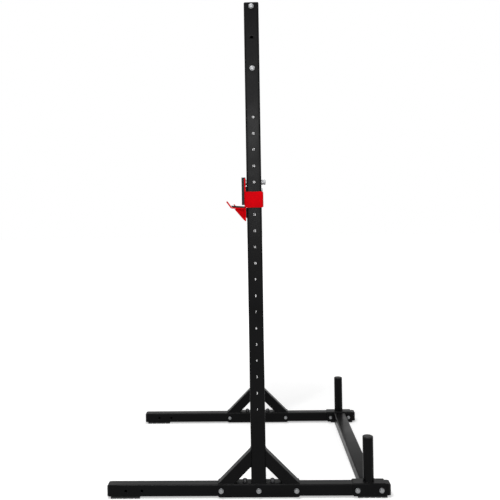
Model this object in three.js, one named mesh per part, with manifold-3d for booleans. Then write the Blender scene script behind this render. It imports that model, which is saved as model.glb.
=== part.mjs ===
// Squat stand: two uprights on floor rails, with bar hooks, a pull-up bar and plate storage posts.
// Millimetres. +Z is up, +X runs to the plate posts at the rear, and the left side is at -Y.
// The origin is on the floor, at the middle of the base.

import * as THREE from 'three';
import { mergeVertices } from 'three/addons/utils/BufferGeometryUtils.js';
import Module from 'manifold-3d';

const wasm = await Module();
wasm.setup();

// Whole stand
const standHeight = 2330;
const uprightSpacing = 1060;

// Fits between pieces
const seatGap = 0.3;
const boltClearance = 0.5;
const cutOverrun = 5;

// Uprights
const uprightDepth = 70;
const uprightWidth = 55;
const uprightWall = 3;
const uprightCorner = 7;
const pinHoleDiameter = 25.4;
const pinHolePitch = 76.2;
const pinHoleCount = 19;
const firstPinHoleHeight = 417;
const hookHoleNumber = 15;

// Floor rails
const railForward = 708;
const railBack = 608;
const railWidth = 55;
const railHeight = 55;
const railWall = 3;
const railCorner = 6;
const spareHoleInset = 80;
const spareHolePitch = 76;

// Feet
const footInset = 8;
const footLength = 137;
const footHeight = 9;
const footTaper = 1.5;
const footGrooveCount = 4;
const footGrooveWidth = 6;
const footGrooveDepth = 2;

// Saddles that carry the uprights on the rails
const saddleLength = 386;
const saddleSheet = 4;
const saddleBend = 5;
const saddleSkirtHeight = 62;
const saddleBoltInset = 16;
const anchorBoltOffset = 65;

// Braces
const braceSection = 55;
const braceWall = 3;
const braceCorner = 6;
const braceRise = 155;

// Plate posts and their brackets
const postOffset = 517;
const postDiameter = 50;
const postWall = 3;
const postHeight = 206;
const bracketLength = 150;
const bracketSkirtHeight = 59;
const bracketBoltInset = 19;

// Rear crossmember
const crossmemberDepth = 70;
const crossmemberWall = 3;
const crossmemberCorner = 6;
const crossmemberFlange = 5;
const flangeCorner = 6;

// Pull-up bar
const barDiameter = 32;
const barWall = 3;
const barPlateDepth = 60;
const barPlateSheet = 6;
const barPlateMargin = 18;
const barBoltSpread = 291;
const barBoltDrop = 20;

// End plugs
const plugWall = 2.5;
const plugInset = 1;
const railPlugHead = 9;
const railPlugDome = 4;
const railPlugInsert = 25;
const uprightPlugHead = 4.5;
const uprightPlugDome = 1.5;
const uprightPlugInsert = 7;
const postPlugHead = 6;
const postPlugDome = 4;
const postPlugInsert = 22;

// Bolts
const boltDiameter = 12;
const boltHeadAcross = 18;
const boltHeadHeight = 7.5;
const nutHeight = 10;
const boltTail = 4;
const washerDiameter = 24;
const washerSheet = 2.5;
const anchorHeadDiameter = 24;
const anchorHeadHeight = 4.5;
const anchorTail = 5;

// Bar hooks: x is counted from the upright's front face, z from the pin's axis
const hookSheet = 6;
const hookBend = 6;
const hookWidth = 55;
const hookStandoff = 5;
const hookPlateRise = 19;
const hookPlateDrop = 182;
const hookCorner = 4;
const earClearance = 0.8;
const earTopDrop = 44.5;
const earHeight = 74.5;
const earOverhang = 8;
const earCorner = 5;
const returnLip = 20;
const shelfReach = 73;
const shelfDrop = 116;
const shelfFall = 5;
const shelfBend = 8;
const lipRun = 22;
const lipRise = 30;
const gussetReach = 58;
const gussetDrop = 179;
const gussetSheet = 6;
const gussetBlunt = 3;

// Hook pin
const pinDiameter = 24;
const pinProud = 20;
const pinChamfer = 2;
const pinGrooveInset = 8;
const pinGrooveWidth = 4;
const pinGrooveDepth = 1.5;
const pinCollarDiameter = 30;
const pinCollarSheet = 3;

// Hook liners and bumper
const linerSheet = 12;
const linerRise = 23;
const linerDrop = 106;
const linerRound = 3;
const shelfLinerSheet = 8;
const bumperTopDrop = 124;
const bumperHeight = 42;
const bumperWidth = 40;
const bumperCorner = 4;

// Facets
const cornerSteps = 2;
const smallCornerSteps = 1;
const domeSteps = 2;
const bendSteps = 3;
const holeSides = 12;
const boltHoleSides = 8;
const shankSides = 6;
const washerSides = 10;
const postSides = 16;
const pinSides = 12;

// Places that follow from the sizes above
const quarterTurn = Math.PI / 2;
const hexSides = 6;
const uprightX = (railForward - railBack) / 2;
const railLength = railForward + railBack;
const railCentreZ = footHeight + railHeight / 2;
const railTopZ = footHeight + railHeight;
const saddleTopZ = railTopZ + seatGap + saddleSheet;
const uprightBottomZ = saddleTopZ + seatGap;
const uprightTopZ = standHeight - uprightPlugHead - seatGap;
const barHeight = standHeight - barBoltDrop - barBoltSpread / 2;
const saddleOuterWidth = railWidth + 2 * (seatGap + saddleSheet);
const hookHeight = firstPinHoleHeight + (hookHoleNumber - 1) * pinHolePitch;
const saddleBoltOffset = saddleLength / 2 - saddleBoltInset;
const bracketBoltOffset = bracketLength / 2 - bracketBoltInset;
const boltHoleRadius = boltDiameter / 2 + boltClearance;
const hookPlateFront = -(hookStandoff + hookSheet);

// Finishes
const finishes = {
  blackCoat: { color: 0x1c1c1f, roughness: 0.45, metalness: 0.2 },
  redCoat: { color: 0xc40010, roughness: 0.4, metalness: 0.1 },
  zinc: { color: 0xb3b6b8, roughness: 0.35, metalness: 0.9 },
  darkSteel: { color: 0x4a4b4d, roughness: 0.4, metalness: 0.9 },
  blackPlastic: { color: 0x121213, roughness: 0.6, metalness: 0 },
  blackRubber: { color: 0x0e0e0f, roughness: 0.85, metalness: 0 },
};

// Joining and cutting

function bare(geometry) {
  const copy = geometry.clone();
  copy.deleteAttribute('normal');
  copy.deleteAttribute('uv');
  return mergeVertices(copy);
}

function solidOf(geometry) {
  const merged = bare(geometry);
  return new wasm.Manifold(new wasm.Mesh({
    numProp: 3,
    vertProperties: new Float32Array(merged.attributes.position.array),
    triVerts: new Uint32Array(merged.index.array),
  }));
}

function geometryOf(solid) {
  const mesh = solid.getMesh();
  const geometry = new THREE.BufferGeometry();
  geometry.setAttribute('position', new THREE.BufferAttribute(new Float32Array(mesh.vertProperties), 3));
  geometry.setIndex(new THREE.BufferAttribute(new Uint32Array(mesh.triVerts), 1));
  return geometry;
}

function cut(geometry, cutters) {
  const solid = cutters.reduce((left, cutter) => left.subtract(solidOf(cutter)), solidOf(geometry));
  return geometryOf(solid);
}

function join(geometries) {
  const solids = geometries.map(solidOf);
  return geometryOf(solids.reduce((whole, solid) => whole.add(solid)));
}

function keepInside(geometry, region) {
  return geometryOf(solidOf(geometry).intersect(solidOf(region)));
}

// Outlines

function roundedRectangle(width, height, radius) {
  const x = width / 2 - radius;
  const y = height / 2 - radius;
  const shape = new THREE.Shape();
  shape.absarc(x, y, radius, 0, quarterTurn);
  shape.absarc(-x, y, radius, quarterTurn, 2 * quarterTurn);
  shape.absarc(-x, -y, radius, 2 * quarterTurn, 3 * quarterTurn);
  shape.absarc(x, -y, radius, 3 * quarterTurn, 4 * quarterTurn);
  return shape;
}

function boxTubeOutline(width, height, wall, radius) {
  const outline = roundedRectangle(width, height, radius);
  outline.holes.push(roundedRectangle(width - 2 * wall, height - 2 * wall, radius - wall));
  return outline;
}

// The outline of a folded sheet: its middle line runs through the corners and is rounded at each fold.
function foldedSheet(corners, bend, sheet) {
  const path = corners.map(([x, y]) => new THREE.Vector2(x, y));
  const one = [];
  const other = [];
  const addStation = (point, along) => {
    const across = new THREE.Vector2(-along.y, along.x).multiplyScalar(sheet / 2);
    one.push(point.clone().add(across));
    other.push(point.clone().sub(across));
  };
  path.forEach((corner, index) => {
    const before = index > 0 ? corner.clone().sub(path[index - 1]).normalize() : null;
    const after = index < path.length - 1 ? path[index + 1].clone().sub(corner).normalize() : null;
    if (!before || !after) {
      addStation(corner, before || after);
      return;
    }
    const turn = Math.atan2(before.cross(after), before.dot(after));
    const side = Math.sign(turn);
    const start = corner.clone().addScaledVector(before, -bend * Math.tan(Math.abs(turn) / 2));
    const centre = start.clone().add(new THREE.Vector2(-before.y, before.x).multiplyScalar(side * bend));
    for (let step = 0; step <= bendSteps; step += 1) {
      const along = before.clone().rotateAround(new THREE.Vector2(), turn * step / bendSteps);
      const outwards = new THREE.Vector2(along.y, -along.x).multiplyScalar(side * bend);
      addStation(centre.clone().add(outwards), along);
    }
  });
  return new THREE.Shape([...one, ...other.reverse()]);
}

// Solids

function prism(shape, length, steps = cornerSteps) {
  const options = { depth: length, bevelEnabled: false, curveSegments: steps };
  return new THREE.ExtrudeGeometry(shape, options);
}

// Carries an outline drawn in Y and Z along X, centred on the origin.
function prismAlongX(shape, length, steps = cornerSteps) {
  const turned = new THREE.Matrix4().makeBasis(
    new THREE.Vector3(0, 1, 0),
    new THREE.Vector3(0, 0, 1),
    new THREE.Vector3(1, 0, 0),
  );
  return prism(shape, length, steps).applyMatrix4(turned).translate(-length / 2, 0, 0);
}

// Carries an outline drawn in X and Z along Y, centred on the origin.
function prismAlongY(shape, length, steps = cornerSteps) {
  return prism(shape, length, steps).rotateX(quarterTurn).translate(0, length / 2, 0);
}

function block(from, to) {
  const size = to.map((high, axis) => high - from[axis]);
  const middle = to.map((high, axis) => (high + from[axis]) / 2);
  return new THREE.BoxGeometry(...size).translate(...middle);
}

function roundAlongY(radius, length, sides) {
  return new THREE.CylinderGeometry(radius, radius, length, sides);
}

function roundAlongX(radius, length, sides) {
  return roundAlongY(radius, length, sides).rotateZ(quarterTurn);
}

function roundAlongZ(radius, length, sides) {
  return roundAlongY(radius, length, sides).rotateX(quarterTurn);
}

// A profile of [radius, height] points turned about Z.
function turned(profile, sides) {
  const points = profile.map(([radius, height]) => new THREE.Vector2(radius, height));
  return new THREE.LatheGeometry(points, sides).rotateX(quarterTurn);
}

// Closed rings of equal count, lowest first, each counter-clockwise from above, skinned and capped.
function stackedRings(rings) {
  const count = rings[0].length;
  const positions = rings.flat().flatMap((point) => [point.x, point.y, point.z]);
  const faces = [];
  for (let level = 0; level < rings.length - 1; level += 1) {
    for (let corner = 0; corner < count; corner += 1) {
      const next = (corner + 1) % count;
      const low = level * count;
      const high = low + count;
      faces.push(low + corner, low + next, high + next, low + corner, high + next, high + corner);
    }
  }
  const top = (rings.length - 1) * count;
  for (let corner = 1; corner < count - 1; corner += 1) {
    faces.push(0, corner + 1, corner, top, top + corner, top + corner + 1);
  }
  const geometry = new THREE.BufferGeometry();
  geometry.setAttribute('position', new THREE.Float32BufferAttribute(positions, 3));
  geometry.setIndex(faces);
  return geometry;
}

// A flat head whose upper edge is rounded over, with its underside at zero.
function domedHead(width, depth, corner, height, dome) {
  const rings = [];
  const addRing = (inset, level) => {
    const outline = roundedRectangle(width - 2 * inset, depth - 2 * inset, corner);
    const points = outline.getPoints(smallCornerSteps);
    const last = points[points.length - 1];
    const open = last.distanceTo(points[0]) < seatGap ? points.slice(0, -1) : points;
    rings.push(open.map((point) => new THREE.Vector3(point.x, point.y, level)));
  };
  addRing(0, 0);
  for (let step = 0; step <= domeSteps; step += 1) {
    const angle = quarterTurn * step / domeSteps;
    addRing(dome * (1 - Math.cos(angle)), height - dome + dome * Math.sin(angle));
  }
  return stackedRings(rings);
}

// A plastic end plug for a box tube: a domed head and a hollow insert below it.
function boxPlug(tube, head, dome, insert) {
  const radius = tube.corner - plugInset;
  const cover = domedHead(tube.width - 2 * plugInset, tube.depth - 2 * plugInset, radius, head, dome);
  const width = tube.width - 2 * (tube.wall + seatGap);
  const depth = tube.depth - 2 * (tube.wall + seatGap);
  const outline = boxTubeOutline(width, depth, plugWall, tube.corner - tube.wall);
  const skirt = prism(outline, insert + dome, smallCornerSteps);
  return join([cover, skirt.translate(0, 0, -insert)]);
}

// A bolt and its nut along Z: the head's clamp face is at zero and the shank runs down.
function bolt(grip, head, nut, tail) {
  const nutTop = -grip - seatGap;
  const shankTop = seatGap + washerSheet;
  const shankEnd = nutTop - nutHeight - tail;
  const shank = roundAlongZ(boltDiameter / 2, shankTop - shankEnd, shankSides);
  shank.translate(0, 0, (shankTop + shankEnd) / 2);
  return join([shank, head, nut.rotateX(2 * quarterTurn).translate(0, 0, nutTop)]);
}

function washer() {
  return roundAlongZ(washerDiameter / 2, washerSheet, washerSides);
}

// A plain hexagon standing on zero.
function hexagon(height) {
  const cornerRadius = boltHeadAcross / 2 / Math.cos(Math.PI / hexSides);
  return roundAlongZ(cornerRadius, height, hexSides).translate(0, 0, height / 2);
}

function hexHead() {
  const cap = hexagon(boltHeadHeight).translate(0, 0, seatGap + washerSheet);
  return join([washer().translate(0, 0, seatGap + washerSheet / 2), cap]);
}

function roundHead() {
  return turned([
    [0, seatGap],
    [anchorHeadDiameter / 2, seatGap],
    [anchorHeadDiameter / 2, seatGap + anchorHeadHeight / 3],
    [anchorHeadDiameter / 3, seatGap + anchorHeadHeight],
    [0, seatGap + anchorHeadHeight],
  ], washerSides);
}

function crossBolt(grip) {
  return bolt(grip, hexHead(), hexagon(nutHeight), boltTail);
}

function anchorBolt() {
  const grip = saddleTopZ - footHeight;
  const nut = hexagon(nutHeight).translate(0, 0, washerSheet);
  return bolt(grip, roundHead(), join([washer().translate(0, 0, washerSheet / 2), nut]), anchorTail);
}

// Base pieces, drawn with the upright's axis at the origin

function boltHolesAlongY(places, width) {
  const length = width + 2 * cutOverrun;
  return places.map(([x, z]) => roundAlongY(boltHoleRadius, length, boltHoleSides).translate(x, 0, z));
}

function rail() {
  const tube = prismAlongX(boxTubeOutline(railWidth, railHeight, railWall, railCorner), railLength);
  const spares = [0, 1].map((index) => [-railForward + spareHoleInset + index * spareHolePitch, 0]);
  const saddleBolts = [-saddleBoltOffset, 0, saddleBoltOffset].map((x) => [x, 0]);
  const bracketBolts = [-bracketBoltOffset, bracketBoltOffset].map((x) => [postOffset + x, 0]);
  const length = railHeight + 2 * cutOverrun;
  const anchors = [-anchorBoltOffset, anchorBoltOffset].map((x) => (
    roundAlongZ(boltHoleRadius, length, boltHoleSides).translate(x, 0, 0)
  ));
  return cut(tube.translate(-uprightX, 0, 0), [
    ...boltHolesAlongY([...spares, ...saddleBolts, ...bracketBolts], railWidth),
    ...anchors,
  ]);
}

// A foot pad with tapered sides and grooves across its sole.
function foot() {
  const half = railWidth / 2;
  const top = footHeight - seatGap;
  const outline = new THREE.Shape([
    new THREE.Vector2(-half + footTaper, 0),
    new THREE.Vector2(half - footTaper, 0),
    new THREE.Vector2(half, footTaper),
    new THREE.Vector2(half, top),
    new THREE.Vector2(-half, top),
    new THREE.Vector2(-half, footTaper),
  ]);
  const pitch = footLength / (footGrooveCount + 1);
  const grooves = Array.from({ length: footGrooveCount }, (_, index) => {
    const x = -footLength / 2 + (index + 1) * pitch;
    return block(
      [x - footGrooveWidth / 2, -half - cutOverrun, -cutOverrun],
      [x + footGrooveWidth / 2, half + cutOverrun, footGrooveDepth],
    );
  });
  return cut(prismAlongX(outline, footLength), grooves);
}

// A sheet folded down over both sides of the rail, with its top at the height of the sheet's outside.
function foldedSaddle(length, skirtHeight) {
  const x = railWidth / 2 + seatGap + saddleSheet / 2;
  const top = saddleTopZ - saddleSheet / 2;
  const bottom = saddleTopZ - skirtHeight;
  const outline = foldedSheet([[-x, bottom], [-x, top], [x, top], [x, bottom]], saddleBend, saddleSheet);
  return prismAlongX(outline, length);
}

function saddle() {
  const sideHoles = [-saddleBoltOffset, 0, saddleBoltOffset].map((x) => [x, railCentreZ]);
  const anchors = [-anchorBoltOffset, anchorBoltOffset].map((x) => (
    roundAlongZ(boltHoleRadius, railHeight, boltHoleSides).translate(x, 0, saddleTopZ)
  ));
  const holes = boltHolesAlongY(sideHoles, saddleOuterWidth);
  return cut(foldedSaddle(saddleLength, saddleSkirtHeight), [...holes, ...anchors]);
}

function postBracket() {
  const sideHoles = [-bracketBoltOffset, bracketBoltOffset].map((x) => [x, railCentreZ]);
  const folded = foldedSaddle(bracketLength, bracketSkirtHeight);
  return cut(folded, boltHolesAlongY(sideHoles, saddleOuterWidth));
}

// A box tube at 45 degrees in front of the upright, mitred to the upright and to the saddle.
function brace() {
  const face = -uprightDepth / 2 - seatGap;
  const length = 2 * braceRise + 2 * braceSection;
  const tube = prismAlongX(boxTubeOutline(braceSection, braceSection, braceWall, braceCorner), length);
  tube.rotateY(-quarterTurn / 2);
  const inset = braceSection / 2 * Math.SQRT1_2;
  const middleX = face - braceRise / 2 + inset;
  const middleZ = uprightBottomZ + braceRise / 2 - inset;
  tube.translate(middleX, 0, middleZ);
  const region = block(
    [face - braceRise - cutOverrun, -braceSection, uprightBottomZ],
    [face, braceSection, uprightBottomZ + braceRise + cutOverrun],
  );
  return keepInside(tube, region);
}

function post() {
  const outer = postDiameter / 2;
  const inner = outer - postWall;
  return turned([[inner, 0], [outer, 0], [outer, postHeight], [inner, postHeight], [inner, 0]], postSides);
}

function postPlug() {
  const outer = postDiameter / 2;
  const insert = outer - postWall - seatGap;
  const profile = [
    [insert - plugWall, -postPlugInsert],
    [insert, -postPlugInsert],
    [insert, 0],
    [outer, 0],
    [outer, postPlugHead - postPlugDome],
  ];
  for (let step = 1; step <= domeSteps; step += 1) {
    const angle = quarterTurn * step / domeSteps;
    const radius = outer - postPlugDome * (1 - Math.cos(angle));
    profile.push([radius, postPlugHead - postPlugDome * (1 - Math.sin(angle))]);
  }
  const hollow = postPlugHead - postPlugDome;
  profile.push([0, postPlugHead]);
  profile.push([0, hollow]);
  profile.push([insert - plugWall, hollow]);
  profile.push([insert - plugWall, -postPlugInsert]);
  return turned(profile, postSides);
}

// Uprights and what joins them, in the stand's own heights

function upright() {
  const length = uprightTopZ - uprightBottomZ;
  const outline = boxTubeOutline(uprightDepth, uprightWidth, uprightWall, uprightCorner);
  const tube = prism(outline, length).translate(0, 0, uprightBottomZ);
  const reach = uprightDepth + 2 * cutOverrun;
  const pinHoles = Array.from({ length: pinHoleCount }, (_, index) => (
    roundAlongX(pinHoleDiameter / 2, reach, holeSides)
      .translate(0, 0, firstPinHoleHeight + index * pinHolePitch)
  ));
  const barHoles = [-barBoltSpread / 2, 0, barBoltSpread / 2].map((offset) => [0, barHeight + offset]);
  return cut(tube, [...pinHoles, ...boltHolesAlongY(barHoles, uprightWidth)]);
}

function pullUpBar() {
  const span = uprightSpacing - uprightWidth - 2 * seatGap;
  const plateHeight = barBoltSpread + 2 * barPlateMargin;
  const outline = roundedRectangle(barPlateDepth, plateHeight, flangeCorner);
  const plates = [-1, 1].map((side) => (
    prismAlongY(outline, barPlateSheet, smallCornerSteps)
      .translate(0, side * (span - barPlateSheet) / 2, barHeight)
  ));
  const tube = roundAlongY(barDiameter / 2, span, postSides).translate(0, 0, barHeight);
  const bore = roundAlongY(barDiameter / 2 - barWall, span + 2 * cutOverrun, pinSides);
  const holes = [-barBoltSpread / 2, barBoltSpread / 2].map((offset) => [0, barHeight + offset]);
  return cut(join([tube, ...plates]), [
    bore.translate(0, 0, barHeight),
    ...boltHolesAlongY(holes, uprightSpacing),
  ]);
}

function rearCrossmember() {
  const span = uprightSpacing - saddleOuterWidth - 2 * seatGap;
  const flange = roundedRectangle(bracketLength, railHeight, flangeCorner);
  const flanges = [-1, 1].map((side) => (
    prismAlongY(flange, crossmemberFlange, smallCornerSteps)
      .translate(0, side * (span - crossmemberFlange) / 2, 0)
  ));
  const tube = roundedRectangle(crossmemberDepth, railHeight, crossmemberCorner);
  const bore = roundedRectangle(
    crossmemberDepth - 2 * crossmemberWall,
    railHeight - 2 * crossmemberWall,
    crossmemberCorner - crossmemberWall,
  );
  const holes = [-bracketBoltOffset, bracketBoltOffset].map((x) => [x, 0]);
  return cut(join([prismAlongY(tube, span), ...flanges]), [
    prismAlongY(bore, span + 2 * cutOverrun),
    ...boltHolesAlongY(holes, span),
  ]);
}

// Bar hooks, drawn for the left side with the outer side at -Y

// A flat back plate, and an ear folded round the upright's outer side and in behind its rear face.
function hookPlate() {
  const height = hookPlateRise + hookPlateDrop;
  const outline = roundedRectangle(hookWidth, height, hookCorner);
  const flat = prismAlongX(outline, hookSheet, smallCornerSteps);
  flat.translate(-hookStandoff - hookSheet / 2, 0, (hookPlateRise - hookPlateDrop) / 2);
  const plateX = -hookStandoff - hookSheet / 2;
  const earY = -uprightWidth / 2 - earClearance - hookSheet / 2;
  const lipX = uprightDepth + earOverhang - hookSheet / 2;
  const fold = foldedSheet(
    [[plateX, 0], [plateX, earY], [lipX, earY], [lipX, earY + returnLip]],
    hookBend,
    hookSheet,
  );
  const strip = prism(fold, earHeight).translate(0, 0, -earTopDrop - earHeight);
  const earLength = uprightDepth + earOverhang + hookStandoff + hookSheet + cutOverrun;
  const window = prismAlongY(roundedRectangle(earLength, earHeight, earCorner), uprightSpacing);
  window.translate(uprightDepth + earOverhang - earLength / 2, 0, -earTopDrop - earHeight / 2);
  const holeRadius = (pinDiameter / 2 + seatGap) / Math.cos(Math.PI / pinSides);
  const hole = roundAlongX(holeRadius, hookSheet + 2 * cutOverrun, pinSides);
  return cut(join([flat, keepInside(strip, window)]), [hole.translate(plateX, 0, 0)]);
}

// Height of the shelf's underside below the pin, at a distance in front of the upright.
function shelfUnderside(reach) {
  const rear = hookStandoff + hookSheet;
  const fall = shelfFall * (shelfReach - reach) / (shelfReach - rear);
  return -shelfDrop - hookSheet - fall;
}

function hookShelf() {
  const rear = hookPlateFront - 2 * seatGap;
  const middle = hookSheet / 2;
  const outline = foldedSheet([
    [rear, shelfUnderside(-rear) + middle],
    [-shelfReach, shelfUnderside(shelfReach) + middle],
    [-shelfReach - lipRun, shelfUnderside(shelfReach) + middle + lipRise],
  ], shelfBend, hookSheet);
  return prismAlongY(outline, hookWidth);
}

function hookGusset() {
  const rear = hookPlateFront - seatGap;
  const below = (reach) => shelfUnderside(reach) - 2 * seatGap;
  const outline = new THREE.Shape([
    new THREE.Vector2(rear, below(-rear)),
    new THREE.Vector2(-gussetReach, below(gussetReach)),
    new THREE.Vector2(-gussetReach, below(gussetReach) - gussetBlunt),
    new THREE.Vector2(rear - gussetBlunt, -gussetDrop),
    new THREE.Vector2(rear, -gussetDrop),
  ]);
  return prismAlongY(outline, gussetSheet);
}

// The pin runs from the plate's front, through a collar, and on through both walls of the upright.
function hookPin() {
  const radius = pinDiameter / 2;
  const collarStart = hookSheet + seatGap;
  const length = hookSheet + hookStandoff + uprightDepth + pinProud;
  const groove = length - pinGrooveInset;
  return turned([
    [0, 0],
    [radius, 0],
    [radius, collarStart],
    [pinCollarDiameter / 2, collarStart],
    [pinCollarDiameter / 2, collarStart + pinCollarSheet],
    [radius, collarStart + pinCollarSheet],
    [radius, groove - pinGrooveWidth],
    [radius - pinGrooveDepth, groove - pinGrooveWidth],
    [radius - pinGrooveDepth, groove],
    [radius, groove],
    [radius, length - pinChamfer],
    [radius - pinChamfer, length],
    [0, length],
  ], pinSides).rotateY(quarterTurn).translate(hookPlateFront, 0, 0);
}

// The back liner, hooked over the plate's top edge.
function backLiner() {
  const back = hookPlateFront - seatGap;
  const front = back - linerSheet;
  const hookBack = -hookStandoff;
  const hookUnder = hookPlateRise + seatGap;
  const outline = new THREE.Shape([
    new THREE.Vector2(back, -linerDrop),
    new THREE.Vector2(back, hookUnder),
    new THREE.Vector2(hookBack, hookUnder),
    new THREE.Vector2(hookBack, linerRise),
    new THREE.Vector2(front + linerRound, linerRise),
    new THREE.Vector2(front, linerRise - linerRound),
    new THREE.Vector2(front, -linerDrop + linerRound),
    new THREE.Vector2(front + linerRound, -linerDrop),
  ]);
  return prismAlongY(outline, hookWidth);
}

// The shelf liner, whose front end leans like the shelf's lip.
function shelfLiner() {
  const rear = hookPlateFront - seatGap;
  const front = shelfReach - seatGap - shelfBend / 2;
  const lean = shelfLinerSheet * lipRun / lipRise;
  const bottom = (reach) => shelfUnderside(reach) + hookSheet + seatGap;
  const outline = new THREE.Shape([
    new THREE.Vector2(rear, bottom(-rear)),
    new THREE.Vector2(rear, bottom(-rear) + shelfLinerSheet),
    new THREE.Vector2(-front - lean, bottom(front) + shelfLinerSheet),
    new THREE.Vector2(-front, bottom(front)),
  ]);
  return prismAlongY(outline, hookWidth);
}

function bumper() {
  const sheet = hookStandoff - 2 * seatGap;
  const outline = roundedRectangle(bumperWidth, bumperHeight, bumperCorner);
  const pad = prismAlongX(outline, sheet, smallCornerSteps);
  return pad.translate(-hookStandoff / 2, 0, -bumperTopDrop - bumperHeight / 2);
}

function mirroredInY(geometry) {
  const copy = bare(geometry).scale(1, -1, 1);
  const index = copy.index.array;
  for (let corner = 0; corner < index.length; corner += 3) {
    [index[corner + 1], index[corner + 2]] = [index[corner + 2], index[corner + 1]];
  }
  return copy;
}

// Putting the stand together

function addPiece(group, name, geometry, finish, place = [0, 0, 0], turn = [0, 0, 0]) {
  const shape = bare(geometry);
  shape.computeVertexNormals();
  const mesh = new THREE.Mesh(shape, new THREE.MeshStandardMaterial(finishes[finish]));
  mesh.name = name;
  mesh.position.set(...place);
  mesh.rotation.set(...turn);
  group.add(mesh);
}

function addBase(group, side) {
  const front = -railForward;
  const footMiddle = footInset + footLength / 2;
  const footX = { front: front + footMiddle, rear: railBack - footMiddle };
  addPiece(group, `${side}_rail`, rail(), 'blackCoat', [0, 0, railCentreZ]);
  addPiece(group, `${side}_foot_front`, foot(), 'blackRubber', [footX.front, 0, 0]);
  addPiece(group, `${side}_foot_rear`, foot(), 'blackRubber', [footX.rear, 0, 0]);
  const tube = { width: railHeight, depth: railWidth, wall: railWall, corner: railCorner };
  const plug = boxPlug(tube, railPlugHead, railPlugDome, railPlugInsert);
  const frontPlace = [front - seatGap, 0, railCentreZ];
  const rearPlace = [railBack + seatGap, 0, railCentreZ];
  addPiece(group, `${side}_rail_plug_front`, plug, 'blackPlastic', frontPlace, [0, -quarterTurn, 0]);
  addPiece(group, `${side}_rail_plug_rear`, plug, 'blackPlastic', rearPlace, [0, quarterTurn, 0]);
  addPiece(group, `${side}_saddle`, saddle(), 'blackCoat');
  addPiece(group, `${side}_brace_front`, brace(), 'blackCoat');
  addPiece(group, `${side}_brace_rear`, brace(), 'blackCoat', [0, 0, 0], [0, 0, 2 * quarterTurn]);
}

function addBaseBolts(group, side, outward) {
  const faceY = outward * saddleOuterWidth / 2;
  const turn = [-outward * quarterTurn, 0, 0];
  const saddlePlaces = { front: -saddleBoltOffset, middle: 0, rear: saddleBoltOffset };
  for (const [place, x] of Object.entries(saddlePlaces)) {
    const name = `${side}_saddle_bolt_${place}`;
    addPiece(group, name, crossBolt(saddleOuterWidth), 'zinc', [x, faceY, railCentreZ], turn);
  }
  const ends = { front: -1, rear: 1 };
  for (const [place, end] of Object.entries(ends)) {
    const anchor = [end * anchorBoltOffset, 0, footHeight];
    addPiece(group, `${side}_anchor_bolt_${place}`, anchorBolt(), 'darkSteel', anchor, [2 * quarterTurn, 0, 0]);
    const grip = saddleOuterWidth + seatGap + crossmemberFlange;
    const bracket = [postOffset + end * bracketBoltOffset, faceY, railCentreZ];
    addPiece(group, `${side}_bracket_bolt_${place}`, crossBolt(grip), 'zinc', bracket, turn);
  }
}

function addPlatePost(group, side) {
  const bottom = saddleTopZ + seatGap;
  const top = bottom + postHeight + seatGap;
  addPiece(group, `${side}_post_bracket`, postBracket(), 'blackCoat', [postOffset, 0, 0]);
  addPiece(group, `${side}_plate_post`, post(), 'blackCoat', [postOffset, 0, bottom]);
  addPiece(group, `${side}_post_plug`, postPlug(), 'blackPlastic', [postOffset, 0, top]);
}

function addUpright(group, side, outward) {
  addPiece(group, `${side}_upright`, upright(), 'blackCoat');
  const tube = { width: uprightDepth, depth: uprightWidth, wall: uprightWall, corner: uprightCorner };
  const plug = boxPlug(tube, uprightPlugHead, uprightPlugDome, uprightPlugInsert);
  addPiece(group, `${side}_upright_plug`, plug, 'blackPlastic', [0, 0, uprightTopZ + seatGap]);
  const grip = uprightWidth + seatGap + barPlateSheet;
  const ends = { lower: -1, upper: 1 };
  for (const [place, end] of Object.entries(ends)) {
    const position = [0, outward * uprightWidth / 2, barHeight + end * barBoltSpread / 2];
    const turn = [-outward * quarterTurn, 0, 0];
    addPiece(group, `${side}_bar_bolt_${place}`, crossBolt(grip), 'zinc', position, turn);
  }
}

function addHook(group, side, outward) {
  const hook = new THREE.Group();
  hook.position.set(-uprightDepth / 2, 0, hookHeight);
  const plate = outward < 0 ? hookPlate() : mirroredInY(hookPlate());
  addPiece(hook, `${side}_hook_plate`, plate, 'redCoat');
  addPiece(hook, `${side}_hook_shelf`, hookShelf(), 'redCoat');
  addPiece(hook, `${side}_hook_gusset`, hookGusset(), 'redCoat');
  addPiece(hook, `${side}_hook_pin`, hookPin(), 'zinc');
  addPiece(hook, `${side}_hook_back_liner`, backLiner(), 'blackPlastic');
  addPiece(hook, `${side}_hook_shelf_liner`, shelfLiner(), 'blackPlastic');
  addPiece(hook, `${side}_hook_bumper`, bumper(), 'blackRubber');
  group.add(hook);
}

const stand = new THREE.Group();
const sides = { left: -1, right: 1 };
for (const [side, outward] of Object.entries(sides)) {
  const group = new THREE.Group();
  group.position.set(uprightX, outward * uprightSpacing / 2, 0);
  addBase(group, side);
  addBaseBolts(group, side, outward);
  addPlatePost(group, side);
  addUpright(group, side, outward);
  addHook(group, side, outward);
  stand.add(group);
}
addPiece(stand, 'pull_up_bar', pullUpBar(), 'blackCoat', [uprightX, 0, 0]);
const crossmemberPlace = [uprightX + postOffset, 0, railCentreZ];
addPiece(stand, 'rear_crossmember', rearCrossmember(), 'blackCoat', crossmemberPlace);

export default stand;
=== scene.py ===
"""A tall squat stand: coated box tubes, plated bolts and red bar hooks, dressed over its CAD frame."""

import math
from collections import namedtuple

import bpy
import numpy as np
from bpy.props import FloatProperty, FloatVectorProperty, IntProperty, PointerProperty
from mathutils import Matrix, Vector


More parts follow.
